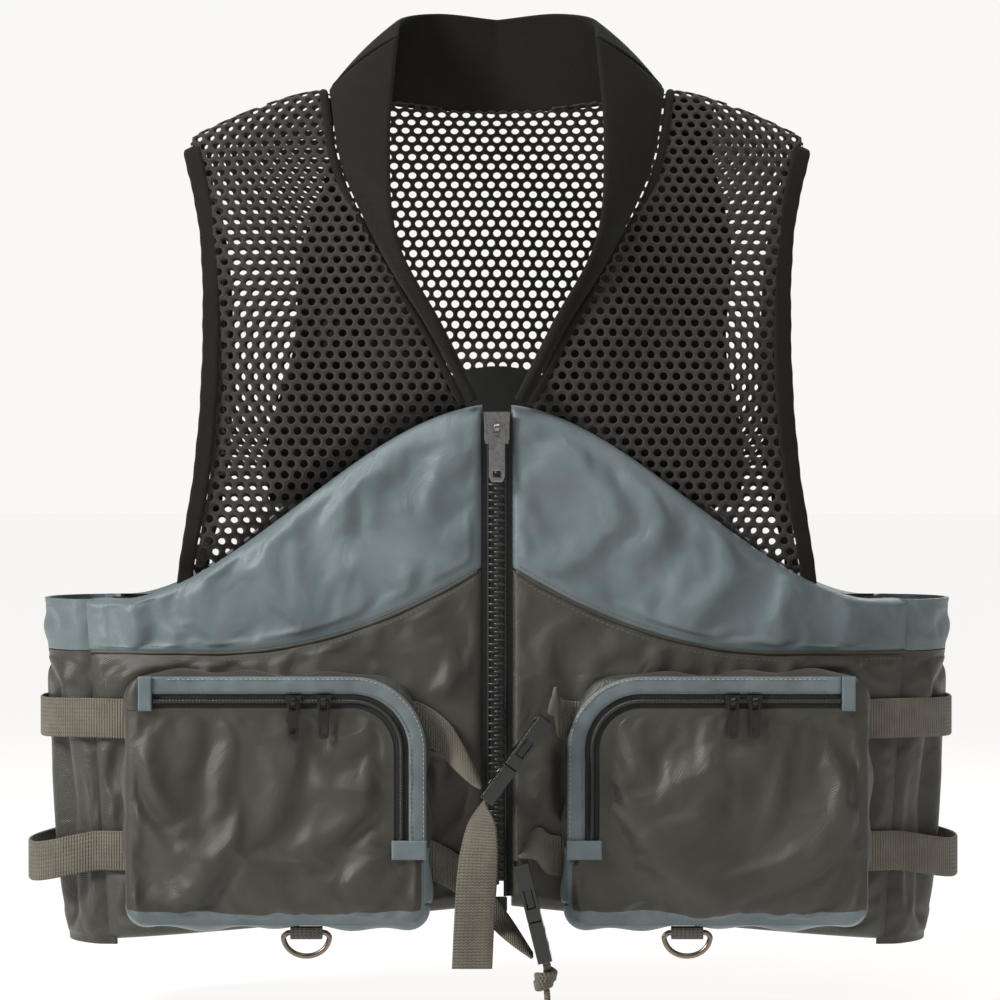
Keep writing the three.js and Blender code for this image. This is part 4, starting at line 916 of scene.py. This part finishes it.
for side, sign, offset in (("left", 1, 0), ("right", -1, tooth_pitch / 2)):
    count = int((zip_top - zip_foot - tooth_pitch) / tooth_pitch)
    rows = [tooth(-tooth_reach, zip_top - 0.002 - offset - i * tooth_pitch, sign) for i in range(count)]
    teeth = make(f"zip_teeth_{side}", *gathered(rows), zip_black)
    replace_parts(teeth, f"zip_half_{side}")
    z = np.linspace(zip_foot, zip_top, 60)
    swept(f"zip_bead_{side}", np.stack([z * 0 + sign * 0.0053, z * 0 + tape_y - 0.0006, z], 1),
        [(sign, 0, 0)] * 60,
                 flat_section(0.0022, 0.0021), zip_black)
    lip = 0.0012 * np.sin(z * 90) * ease((z - zip_top + 0.03) / 0.03)
    tape = swept(f"zip_tape_{side}", np.stack([z * 0 + sign * 0.0120, tape_y + 0.0004 + lip, z], 1),
        [(sign, 0, 0)] * 60,
                 flat_section(0.0128, 0.0010), zip_tape)

def eased_edges(node, finish, width=0.0005):
    """Carries a moulded or cast node over as it is, with its edges eased and its finish on."""
    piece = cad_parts[node]
    piece.data.materials.clear()
    piece.data.materials.append(finish.material)
    weld = piece.modifiers.new("weld", "WELD")
    weld.merge_threshold = 1e-6
    bevel = piece.modifiers.new("ease", "BEVEL")
    bevel.width, bevel.segments, bevel.limit_method, bevel.angle_limit = width, 2, "ANGLE", math.radians(35)
    bevel.harden_normals = False
    piece.data.polygons.foreach_set("use_smooth", [True] * len(piece.data.polygons))
    smooth = piece.modifiers.new("normals", "WEIGHTED_NORMAL")
    smooth.keep_sharp = False
    return piece

gunmetal = Finish("gunmetal", "gunmetal")
gunmetal.surface({"Base Color": gunmetal.blend(gunmetal.blotches(0.003), (0.16, 0.155, 0.15, 1),
    (0.36, 0.355, 0.345, 1)), "Metallic": 1.0,
                  "Roughness": gunmetal.blotches(0.0015) * 0.2 + 0.2}, height=gunmetal.blotches(0.0012),
                  strength=0.12, distance=0.0002)
black_metal = Finish("black_metal", "gunmetal")
black_metal.surface({"Base Color": black_metal.blend(black_metal.blotches(0.002), (0.014, 0.013, 0.012, 1),
    (0.035, 0.033, 0.030, 1)), "Metallic": 0.6,
                     "Roughness": black_metal.blotches(0.002) * 0.2 + 0.25},
                     height=black_metal.blotches(0.001), strength=0.1, distance=0.0002)
eased_edges("zip_box", zip_black, 0.0008)
eased_edges("zip_slider", gunmetal, 0.0006)
eased_edges("zip_pull", gunmetal, 0.0005)

# ---- Pockets: a soft grey front on a deep gusset, opened by a curved zip under a blue trim ----
pocket_inner_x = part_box("pocket_front_left")[0].x
pocket_outer_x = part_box("pocket_front_left")[1].x
pocket_top_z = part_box("pocket_front_left")[1].z
pocket_foot_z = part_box("pocket_front_left")[0].z
pocket_corner, small_corner = 0.046, 0.014
trim_width, pocket_zip_width = 0.011, 0.008
round_x, round_z = pocket_inner_x + pocket_corner, pocket_top_z - pocket_corner
strip_start_x, strip_low_z = pocket_outer_x - 0.016, round_z - 0.063
front_inset = trim_width + pocket_zip_width + 0.0008
pocket_cloth = 0.002

def strip_path(inset, start=0.0, end=0.0):
    """The pocket's top edge, round corner and inner edge, that far in from its outline."""
    arc = np.linspace(math.pi / 2, math.pi, 24)
    r = pocket_corner - inset
    points = [(x, pocket_top_z - inset) for x in np.linspace(strip_start_x - start, round_x + 0.002, 34)]
    points += [(round_x + r * math.cos(t), round_z + r * math.sin(t)) for t in arc]
    points += [(pocket_inner_x + inset, z) for z in np.linspace(round_z - 0.003, strip_low_z + end, 20)]
    return np.array(points)

def pocket_left_edge(z):
    """The front cloth's inner limit in x at each height."""
    zip_r = pocket_corner - front_inset
    inner = np.full_like(z, pocket_inner_x)
    high = z > strip_low_z
    up = np.clip((z - round_z) / zip_r, 0, 1)
    inner = np.where(high, pocket_inner_x + front_inset + zip_r
        * (1 - np.sqrt(1 - np.minimum(up, 0.999) ** 2)), inner)
    step = ease((z - strip_low_z + 0.004) / 0.008) * (front_inset) + pocket_inner_x
    inner = np.where(np.abs(z - strip_low_z) < 0.004, step, inner)
    down = np.clip((pocket_foot_z + small_corner - z) / small_corner, 0, 0.999)
    return inner + small_corner * (1 - np.sqrt(1 - down ** 2))
def pocket_right_edge(z):
    down = np.clip((pocket_foot_z + small_corner - z) / small_corner, 0, 0.999)
    return pocket_outer_x - small_corner * (1 - np.sqrt(1 - down ** 2))

pocket_folds = {
    "left": [((0.075, -0.45), (0.215, -0.405), 0.009, 0.0035), ((0.07, -0.49), (0.16, -0.44), 0.009, 0.003),
             ((0.12, -0.51), (0.215, -0.47), 0.010, 0.004), ((0.20, -0.40), (0.222, -0.48), 0.008, 0.004),
             ((0.085, -0.42), (0.14, -0.415), 0.006, -0.002)],
    "right": [((0.215, -0.52), (0.150, -0.448), 0.009, 0.0045),
    ((0.190, -0.385), (0.105, -0.408), 0.008, 0.0035),
              ((0.125, -0.425), (0.062, -0.448), 0.009, 0.0035),
              ((0.222, -0.40), (0.20, -0.46), 0.008, 0.004),
              ((0.10, -0.50), (0.065, -0.465), 0.009, 0.003), ((0.17, -0.40), (0.19, -0.44), 0.007, -0.002)]}
pull_clear_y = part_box("pocket_left_outer_pull")[0].y + 0.0022
blue_folds = lambda s: 0.00045 * np.sin(s / 0.0026) + 0.0004 * np.sin(s / 0.0071 + 1)

pocket_fronts = {}
for side in ("left", "right"):
    turn_over = mirrored if side == "right" else (lambda points: points)
    v = spaced(pocket_top_z - pocket_foot_z - front_inset, 0.0038, 0.010)
    u = spaced(0.185, 0.0038, 0.010)
    z_top_inner = pocket_top_z - front_inset
    z = np.repeat(mix(pocket_foot_z, z_top_inner, v)[None], len(u), 0)
    inner, outer = pocket_left_edge(z), pocket_right_edge(z)
    x = mix(inner, outer, u[:, None])
    near = np.minimum.reduce([x - inner, outer - x, z - pocket_foot_z, z_top_inner - z])
    base = np.stack([x, np.full_like(x, front_y), z], -1)
    soft_edge = np.minimum.reduce([outer - x + 0.0, z - pocket_foot_z])
    drop = rounding(soft_edge, 0.006, 0.010) + rounding(np.where(z < strip_low_z, x - inner, 1.0), 0.006,
        0.010) * (soft_edge > 0.003)
    base[..., 1] += np.minimum(drop, 0.008)
    bulge = 0.0035 * np.sin(math.pi * np.clip((x - inner) / (outer - inner), 0, 1)) * np.sin(math.pi
        * np.clip((z - pocket_foot_z) / (z_top_inner - pocket_foot_z), 0, 1) ** 0.8)
    folds = laid_folds(pocket_folds[side])(x, z)
    face = base.copy()
    face[..., 1] -= (bulge + folds) * ease(near / 0.02)
    held = (near < 0.007).astype(float)
    face = settled(face, 1, 0.065, held, frames=18, sag=0.5, push=0.12, proud=0.0085, dip=0.005)
    limit = mix(-1.0, pull_clear_y, ease((z - z_top_inner + 0.036) / 0.012))
    face[..., 1] = np.maximum(face[..., 1], limit)
    face[..., 1] = np.maximum(face[..., 1], front_y - 0.012)
    back = face + np.array([0, pocket_cloth, 0]) 
    front = make(f"pocket_front_{side}", *two_skins(turn_over(face), turn_over(back)), grey_nylon)
    front.data.materials.append(blue_nylon.material)
    rows, columns = len(v) - 1, len(u) - 1
    blue_rows, blue_columns = int(np.searchsorted(z[0], pocket_foot_z + 0.0085)), 3
    for i, j in np.ndindex(columns, rows):
        if j < blue_rows or (i < blue_columns and z[0, j + 1] < strip_low_z - 0.004):
            front.data.polygons[2 * (i * rows + j)].material_index = 1
    softened(front)
    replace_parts(front, f"pocket_front_{side}")
    pocket_fronts[side] = (x, z, face)

    # Beyond the zip's start a grey corner closes the front up to the pocket's top.
    corner_x0, corner_z0 = strip_start_x - 0.0015, z_top_inner - 0.0012
    u, v = np.meshgrid(spaced(0.018, 0.002, 0.006), spaced(0.021, 0.002, 0.006), indexing="ij")
    cut_in = small_corner * 0.8 * (1
        - np.sqrt(1 - np.clip((v * 0.021 - 0.021 + small_corner) / small_corner, 0, 0.97) ** 2))
    x = mix(corner_x0, pocket_outer_x - cut_in, u)
    z = mix(corner_z0, pocket_top_z - 0.0004, v)
    drop = rounding(np.minimum((1 - u) * 0.018, (1 - v) * 0.021), 0.005, 0.008)
    piece_face = np.stack([x, front_y - 0.0002 + drop, z], -1)
    patch = softened(make(f"pocket_corner_{side}",
        *two_skins(turn_over(piece_face), turn_over(piece_face + np.array([0, pocket_cloth, 0]))),
        grey_nylon))
    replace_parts(patch, f"pocket_front_{side}")

    trim_line = strip_path(trim_width / 2)
    run = np.concatenate([[0], np.hypot(*np.diff(trim_line, axis=0).T).cumsum()])
    path = np.stack([trim_line[:, 0], np.full(len(run), front_y + 0.0006) - blue_folds(run) * 0.6,
        trim_line[:, 1]], 1)
    ahead = np.gradient(trim_line, axis=0)
    over = np.stack([-ahead[:, 1], 0 * run, ahead[:, 0]], 1)
    crown = [(-0.0055, 0.0015), (-0.0057, 0.0), (-0.0052, -0.0012), (-0.003, -0.0018), (0, -0.0022),
        (0.003, -0.0018), (0.0051, -0.0012), (0.0055, 0.0), (0.0053, 0.0015)]
    crown = [(a, -b) for a, b in crown]
    if side == "right":
        path, over = mirrored(path), mirrored(over)
    turn = 1 if side == "left" else -1
    trim = softened(swept(f"pocket_trim_{side}", path, over, crown, blue_nylon, turn=turn))
    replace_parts(trim, f"pocket_trim_{side}")

    zip_line = strip_path(trim_width + 0.0004 + pocket_zip_width / 2)
    path = np.stack([zip_line[:, 0], np.full(len(zip_line), front_y + 0.0012), zip_line[:, 1]], 1)
    ahead = np.gradient(zip_line, axis=0)
    over = np.stack([-ahead[:, 1], 0 * ahead[:, 0], ahead[:, 0]], 1)
    if side == "right":
        path, over = mirrored(path), mirrored(over)
    tape = swept(f"pocket_zip_{side}", path, over, flat_section(pocket_zip_width + 0.002, 0.0012), zip_tape,
        turn=turn)
    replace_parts(tape, f"pocket_zip_{side}")
    dense = smooth_curve(path, np.linspace(0, 1, 420))
    dense_over = smooth_curve(over, np.linspace(0, 1, 420))
    beat = 1 + 0.22 * np.sign(np.sin(np.arange(420) * math.pi / 1.5 + 0.1))
    dense[:, 1] -= 0.0007
    swept(f"pocket_coil_{side}", dense, dense_over, round_section(0.00145, 8), zip_black, turn=turn,
        size=beat)

# The gusset runs all round, from the front back to the cover. Its foot and lower inner corner are blue.
def gusset_outline():
    r = small_corner
    corner = lambda cx, cz, a0, a1, radius, n: [(cx + radius * math.cos(t), cz + radius * math.sin(t))
        for t in np.linspace(a0, a1, n)]
    points = corner(pocket_inner_x + r, pocket_foot_z + r, math.pi, 1.5 * math.pi, r, 7)
    points += [(x, pocket_foot_z) for x in np.linspace(pocket_inner_x + r, pocket_outer_x - r, 40)[1:-1]]
    points += corner(pocket_outer_x - r, pocket_foot_z + r, 1.5 * math.pi, 2 * math.pi, r, 7)
    points += [(pocket_outer_x, z) for z in np.linspace(pocket_foot_z + r, pocket_top_z - r, 34)[1:-1]]
    points += corner(pocket_outer_x - r, pocket_top_z - r, 0, 0.5 * math.pi, r, 7)
    points += [(x, pocket_top_z) for x in np.linspace(pocket_outer_x - r, round_x, 34)[1:-1]]
    points += corner(round_x, round_z, 0.5 * math.pi, math.pi, pocket_corner, 14)
    points += [(pocket_inner_x, z) for z in np.linspace(round_z, pocket_foot_z + r, 26)[1:]]
    return np.array(points)
outline = gusset_outline()
ahead = np.gradient(outline, axis=0)
ahead[0] = ahead[-1] = outline[1] - outline[-2]
sideways = np.stack([ahead[:, 1], -ahead[:, 0]], 1) / np.linalg.norm(ahead, axis=1, keepdims=True)
w = spaced(0.03, 0.0035, 0.004)
for side in ("left", "right"):
    turn_over = mirrored if side == "right" else (lambda points: points)
    run = np.concatenate([[0], np.hypot(*np.diff(outline, axis=0).T).cumsum()])
    near_start = front_y + 0.0030
    torso_y = front_at(narrowed(outline[:, 0], outline[:, 1]),
        np.maximum(outline[:, 1], hem_line(outline[:, 0])))[:, 1] - 0.0006
    for strap_height in strap_z:
        torso_y -= 0.0042 * np.exp(-((outline[:, 1] - strap_height) / 0.0165) ** 8) * (np.abs(outline[:, 0]
            - 0.138) > 0.08)
    torso_y = np.maximum(torso_y, near_start + 0.004)
    y = near_start + (torso_y - near_start)[:, None] * w[None]
    puff = 0.0034 * np.sin(math.pi * w)[None] ** 0.7 + 0.0016 * np.sin(run / 0.0072)[:,
        None] * np.sin(math.pi * w)[None] \
        + 0.0012 * np.sin(run / 0.019)[:, None] * np.sin(math.pi * w)[None]
    puff = puff - 0.0012
    outer = np.stack([outline[:, 0][:, None] + sideways[:, 0][:, None] * puff, y,
        outline[:, 1][:, None] + sideways[:, 1][:, None] * puff], -1)
    thick = np.stack([sideways[:, 0], 0 * run, sideways[:, 1]], 1)[:, None] * pocket_cloth
    inner_skin = outer - thick
    gusset = make(f"pocket_gusset_{side}", *two_skins(turn_over(outer), turn_over(inner_skin)), grey_nylon)
    gusset.data.materials.append(blue_nylon.material)
    for face in gusset.data.polygons:
        centre = face.center
        if centre.z < pocket_foot_z + 0.006 or (centre.z < strip_low_z and abs(centre.x) < pocket_inner_x
            + 0.01):
            face.material_index = 1
    softened(gusset)
    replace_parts(gusset, f"pocket_gusset_{side}")

    # Blue tabs close the zip's two ends, sewn over the trim.
    for end, (tx, tz, half_x,
        half_z) in (("start", (strip_start_x + 0.0030, pocket_top_z - 0.0105, 0.0042, 0.0108)),
                                          ("finish", (pocket_inner_x + 0.0105, strip_low_z + 0.001, 0.0110,
                                          0.0060))):
        u, v = np.meshgrid(spaced(1, 0.08, 0.1), spaced(1, 0.08, 0.1), indexing="ij")
        round_edge = rounding(np.minimum.reduce([u, 1 - u, v, 1 - v]), 0.0009, 0.14)
        face = np.stack([tx + (2 * u - 1) * half_x, front_y - 0.0034 + round_edge,
            tz + (2 * v - 1) * half_z], -1)
        tab = make(f"pocket_tab_{side}_{end}",
            *two_skins(turn_over(face),
            turn_over(face + np.array([0, 0.0016, 0]) - round_edge[..., None] * np.array([0, 0.6, 0]))),
            blue_nylon)
    for row, inset in (("outer", 0.0016), ("inner", 0.0094)):
        line = strip_path(inset, start=0.009)
        path = np.stack([line[:, 0], line[:, 0] * 0 + front_y - 0.0010, line[:, 1]], 1)
        stitched(f"pocket_stitches_{side}_{row}", turn_over(path), (0, -1, 0),
            thread_pale if row == "outer" else thread_grey, pitch=0.0030, length=0.0021)
    for which in ("outer", "inner"):
        eased_edges(f"pocket_{side}_{which}_slider", black_metal, 0.0004)
        eased_edges(f"pocket_{side}_{which}_pull", black_metal, 0.0004)

# ---- D-rings: bent bronze wire, each hanging in a folded tab of webbing under its pocket ----
webbing_width, webbing_thickness = 0.0254, 0.0016
webbing_cloth = Finish("webbing", "webbing")
across, along, _ = webbing_cloth.axes(2)
rib = webbing_cloth.wave(along, 0.0019)
row = webbing_cloth.wave(across, 0.0026)
webbing_cloth.surface(
    {"Base Color": webbing_cloth.blend(rib * row * 0.3 + 0.5 + (webbing_cloth.blotches(0.012) - 0.5) * 0.8,
    (0.070, 0.060, 0.043, 1), (0.180, 0.158, 0.120, 1)),
     "Roughness": 0.72, "Sheen Weight": 0.1}, height=rib * 1.0 + rib * row * 0.6, strength=0.9,
     distance=0.0004)
tab_webbing = Finish("tab_webbing", "webbing")
x, y, z = tab_webbing.axes()
rib = tab_webbing.wave(z + y, 0.0019)
tab_webbing.surface({"Base Color": tab_webbing.blend(tab_webbing.blotches(0.01), (0.060, 0.054, 0.045, 1),
    (0.13, 0.118, 0.10, 1)), "Roughness": 0.75},
                    height=rib + tab_webbing.wave(x, 0.0026) * rib, strength=0.9, distance=0.0004)
bronze = Finish("bronze_metal", "bronze_metal")
bronze.surface({"Base Color": bronze.blend(bronze.blotches(0.004), (0.16, 0.125, 0.095, 1),
    (0.30, 0.25, 0.20, 1)), "Metallic": 1.0,
                "Roughness": bronze.blotches(0.003) * 0.2 + 0.22}, height=bronze.blotches(0.0015),
                strength=0.1, distance=0.0002)
ring_wire, ring_width, ring_height = 0.0034, 0.032, 0.018
ring_x, ring_y = 0.119, -(body_half_depth + 0.009)
bar_z = pocket_foot_z - 0.0004 - ring_wire / 2 - 0.0026
half, drop, corner = ring_width / 2 - ring_wire / 2, ring_height - ring_wire, 0.0025
ring_line = [(share * (half - corner), 0, 0) for share in (-1, -0.5, 0, 0.5, 1)]
ring_line += [(half * math.cos(t), 0, -corner - (drop - corner) * math.sin(t))
    for t in np.linspace(0, math.pi, 13)]
ring_line += [ring_line[0]]
for side, sign in (("left", 1), ("right", -1)):
    line = smooth_curve(ring_line, np.linspace(0, 1, 97))[:-1]
    centre = np.array([sign * ring_x, ring_y, bar_z])
    over = np.tile([0.0, 1.0, 0.0], (96, 1))
    ring = swept(f"d_ring_{side}", line + centre, over, round_section(ring_wire / 2, 14), bronze,
        body=f"d_ring_{side}", ends=False)
    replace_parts(ring, f"d_ring_{side}")
    eased_edges(f"d_ring_tab_{side}", tab_webbing, 0.0004)

# ---- Straps: ribbed webbing from the back, round the sides and in behind the pockets to the buckles ----
# The upper pair lies close; the lower pair stands off at the sides in slack loops.
buckle_width, buckle_thickness, socket_length, plug_length = 0.033, 0.009, 0.036, 0.026
buckle_y = -(body_half_depth + 0.0155 + buckle_width / 2)
upper_mouth, upper_tilt = np.array([0.009, buckle_y, hem_z + 0.091]), math.radians(36)
lower_mouth, lower_tilt = np.array([0.0235, buckle_y, hem_z - 0.004]), math.radians(-14)
upper_height, lower_height = 0.116, 0.032
strap_off = webbing_thickness / 2 + 0.0010

def on_buckle(mouth, tilt, over, along):
    return mouth + np.array([over * math.cos(tilt) + along * math.sin(tilt), 0,
        along * math.cos(tilt) - over * math.sin(tilt)])
def around_at(t, z):
    """From the zip (0) over the side seams (1 and 2) to the middle of the back (3), at one height."""
    seam_x = seam_share * float(half_width(z))
    if t <= 1:
        return front_at(np.array(seam_x * t), np.array(z))
    if t < 2:
        return side_at(t - 1, np.array(z))
    return back_at(np.array(seam_x * (3 - t)), np.array(z))

def body_run(height, end_x, slack, droop):
    """Along the body to end_x, standing off by slack where it rounds the side."""
    z = hem_z + height
    seam_x = seam_share * float(half_width(z))
    stations = []
    for t in np.linspace(2.5, end_x / seam_x, 44):
        here = around_at(t, z)
        ahead = around_at(t - 0.01, z) - around_at(t + 0.01, z)
        out = np.array([-ahead[1], ahead[0], 0]) / np.linalg.norm(ahead)
        bow = slack * float(ease((t - 0.93) / 0.4) * ease((2.05 - t) / 0.5))
        stations.append((here + out * (strap_off + 0.0004 + bow) - np.array([0, 0, droop * bow]),
            (0, 0.0, 1)))
    return stations

def strap(name, stations, count=260, body="root", size=None):
    centres = np.array([s[0] for s in stations])
    over = np.array([s[1] for s in stations], float)
    shares = np.linspace(0, 1, count)
    path, lean = smooth_curve(centres, shares), smooth_curve(over, shares)
    piece = swept(name, path, lean, flat_section(webbing_width, webbing_thickness + 0.0003, 4),
        webbing_cloth, body=body, size=size)
    return piece

bar = on_buckle(upper_mouth, upper_tilt, 0, socket_length + 0.0036)
front_level = -body_half_depth - strap_off
upper_left = body_run(upper_height, pocket_inner_x + 0.008, 0.004, 0.2) + [
    ((mix(pocket_inner_x, bar[0], 0.35), front_level - 0.003, mix(hem_z + upper_height, bar[2], 0.3)),
    (0, 0, 1)),
    ((mix(pocket_inner_x, bar[0], 0.65), mix(front_level, buckle_y, 0.45), bar[2] + 0.006), (0, 0.7, 0.7)),
    (tuple(bar), (0, 1, 0))]
bar = on_buckle(lower_mouth, lower_tilt, 0, socket_length + 0.0036)
lower_left = body_run(lower_height, pocket_inner_x + 0.008, 0.014, 0.5) + [
    ((mix(pocket_inner_x, bar[0], 0.35), front_level - 0.003, mix(hem_z + lower_height, bar[2], 0.3)),
    (0, 0, 1)),
    ((mix(pocket_inner_x, bar[0], 0.65), mix(front_level, buckle_y, 0.45), bar[2] + 0.006), (0, 0.7, 0.7)),
    (tuple(bar), (0, 1, 0))]
def right_side(height, mouth, tilt, sag, slack, droop):
    z = hem_z + height
    end = on_buckle(mouth, tilt, -(buckle_thickness / 2 + webbing_thickness + 0.001), -plug_length + 0.004)
    run = [(tuple(np.array(p) * [-1, 1, 1]), over) for p,
        over in body_run(height, pocket_inner_x + 0.006, slack, droop)]
    return run + [
        ((mix(-pocket_inner_x, end[0], 0.3), front_level - 0.002, mix(z, end[2], 0.2) - sag), (0, 0, 1)),
        ((mix(-pocket_inner_x, end[0], 0.7), mix(front_level, buckle_y, 0.5), mix(z, end[2], 0.65)),
        (0, 0.7, 0.7)),
        (tuple(end), (0, 1, 0))]
for name, stations in (("upper_strap_left", upper_left), ("lower_strap_left", lower_left),
                       ("upper_strap_right", right_side(upper_height, upper_mouth, upper_tilt, 0.002, 0.005,
                       0.2)),
                       ("lower_strap_right", right_side(lower_height, lower_mouth, lower_tilt, 0.0, 0.019,
                       0.5))):
    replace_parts(strap(name, stations), name)

# Past the plugs the upper strap's end hangs flat; the lower one's is short and tied in a knot.
def tail_top(mouth, tilt): return on_buckle(mouth, tilt, 0, -plug_length - 0.0018)
top = tail_top(upper_mouth, upper_tilt)
drop, drift, forward = 0.104, -0.008, 0.002
tail = [(top, (0, 1, 0)),
        (top + [0.25 * drift, 0.3 * forward, -0.15 * drop], (-0.7, 0.7, 0)),
        (top + [0.6 * drift, 0.8 * forward, -0.45 * drop], (-1, 0.1, 0)),
        (top + [0.85 * drift, 1.2 * forward, -0.75 * drop], (-1, -0.05, 0)),
        (top + [drift, forward, -drop], (-1, 0, 0))]
tail_piece = strap("upper_strap_tail", tail, 110, body="upper_buckle_plug")
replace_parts(tail_piece, "upper_strap_tail")

knot_top = on_buckle(lower_mouth, lower_tilt, 0, -plug_length - 0.0014)
t = np.linspace(0, 1, 150)
turns = 2 * math.pi * 1.75 * ease((t - 0.16) / 0.5)
round_knot = ease((t - 0.12) / 0.12) * ease((0.78 - t) / 0.14)
path = np.stack([knot_top[0] + 0.0050 * round_knot * np.sin(turns) + 0.0012 * np.sin(9 * t),
    knot_top[1] + 0.0050 * round_knot * np.cos(turns),
                 knot_top[2] - 0.0004 - 0.0085 * ease(t / 0.3) - 0.0065 * ease((t - 0.25) / 0.45) - 0.0150
                 * ease((t - 0.7) / 0.3)], 1)
over = np.stack([np.sin(turns + 1.2) * 0.45 + 0.02, np.cos(turns + 1.2) * 0.45 + 1.0 * (1 - round_knot),
    0.9 * round_knot + 0.001], 1)
knot_piece = swept("lower_strap_knot", path, over, flat_section(0.0085, 0.0034, 5), webbing_cloth,
    body="lower_buckle_plug",
                   size=1 - 0.15 * round_knot)
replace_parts(knot_piece, "lower_strap_knot")

# ---- Side-release buckles: glossy black mouldings, the plug's prongs clicked into the socket ----
black_plastic = Finish("black_plastic", "black_plastic")
black_plastic.surface({"Base Color": (0.0045, 0.0043, 0.0040, 1),
    "Roughness": black_plastic.blotches(0.006) * 0.16 + 0.2, "Coat Weight": 0.3, "Specular IOR Level": 0.5},
                      height=black_plastic.blotches(0.0012), strength=0.1, distance=0.0002)
for which in ("upper", "lower"):
    eased_edges(f"{which}_buckle_socket", black_plastic, 0.0009)
    eased_edges(f"{which}_buckle_plug", black_plastic, 0.0006)
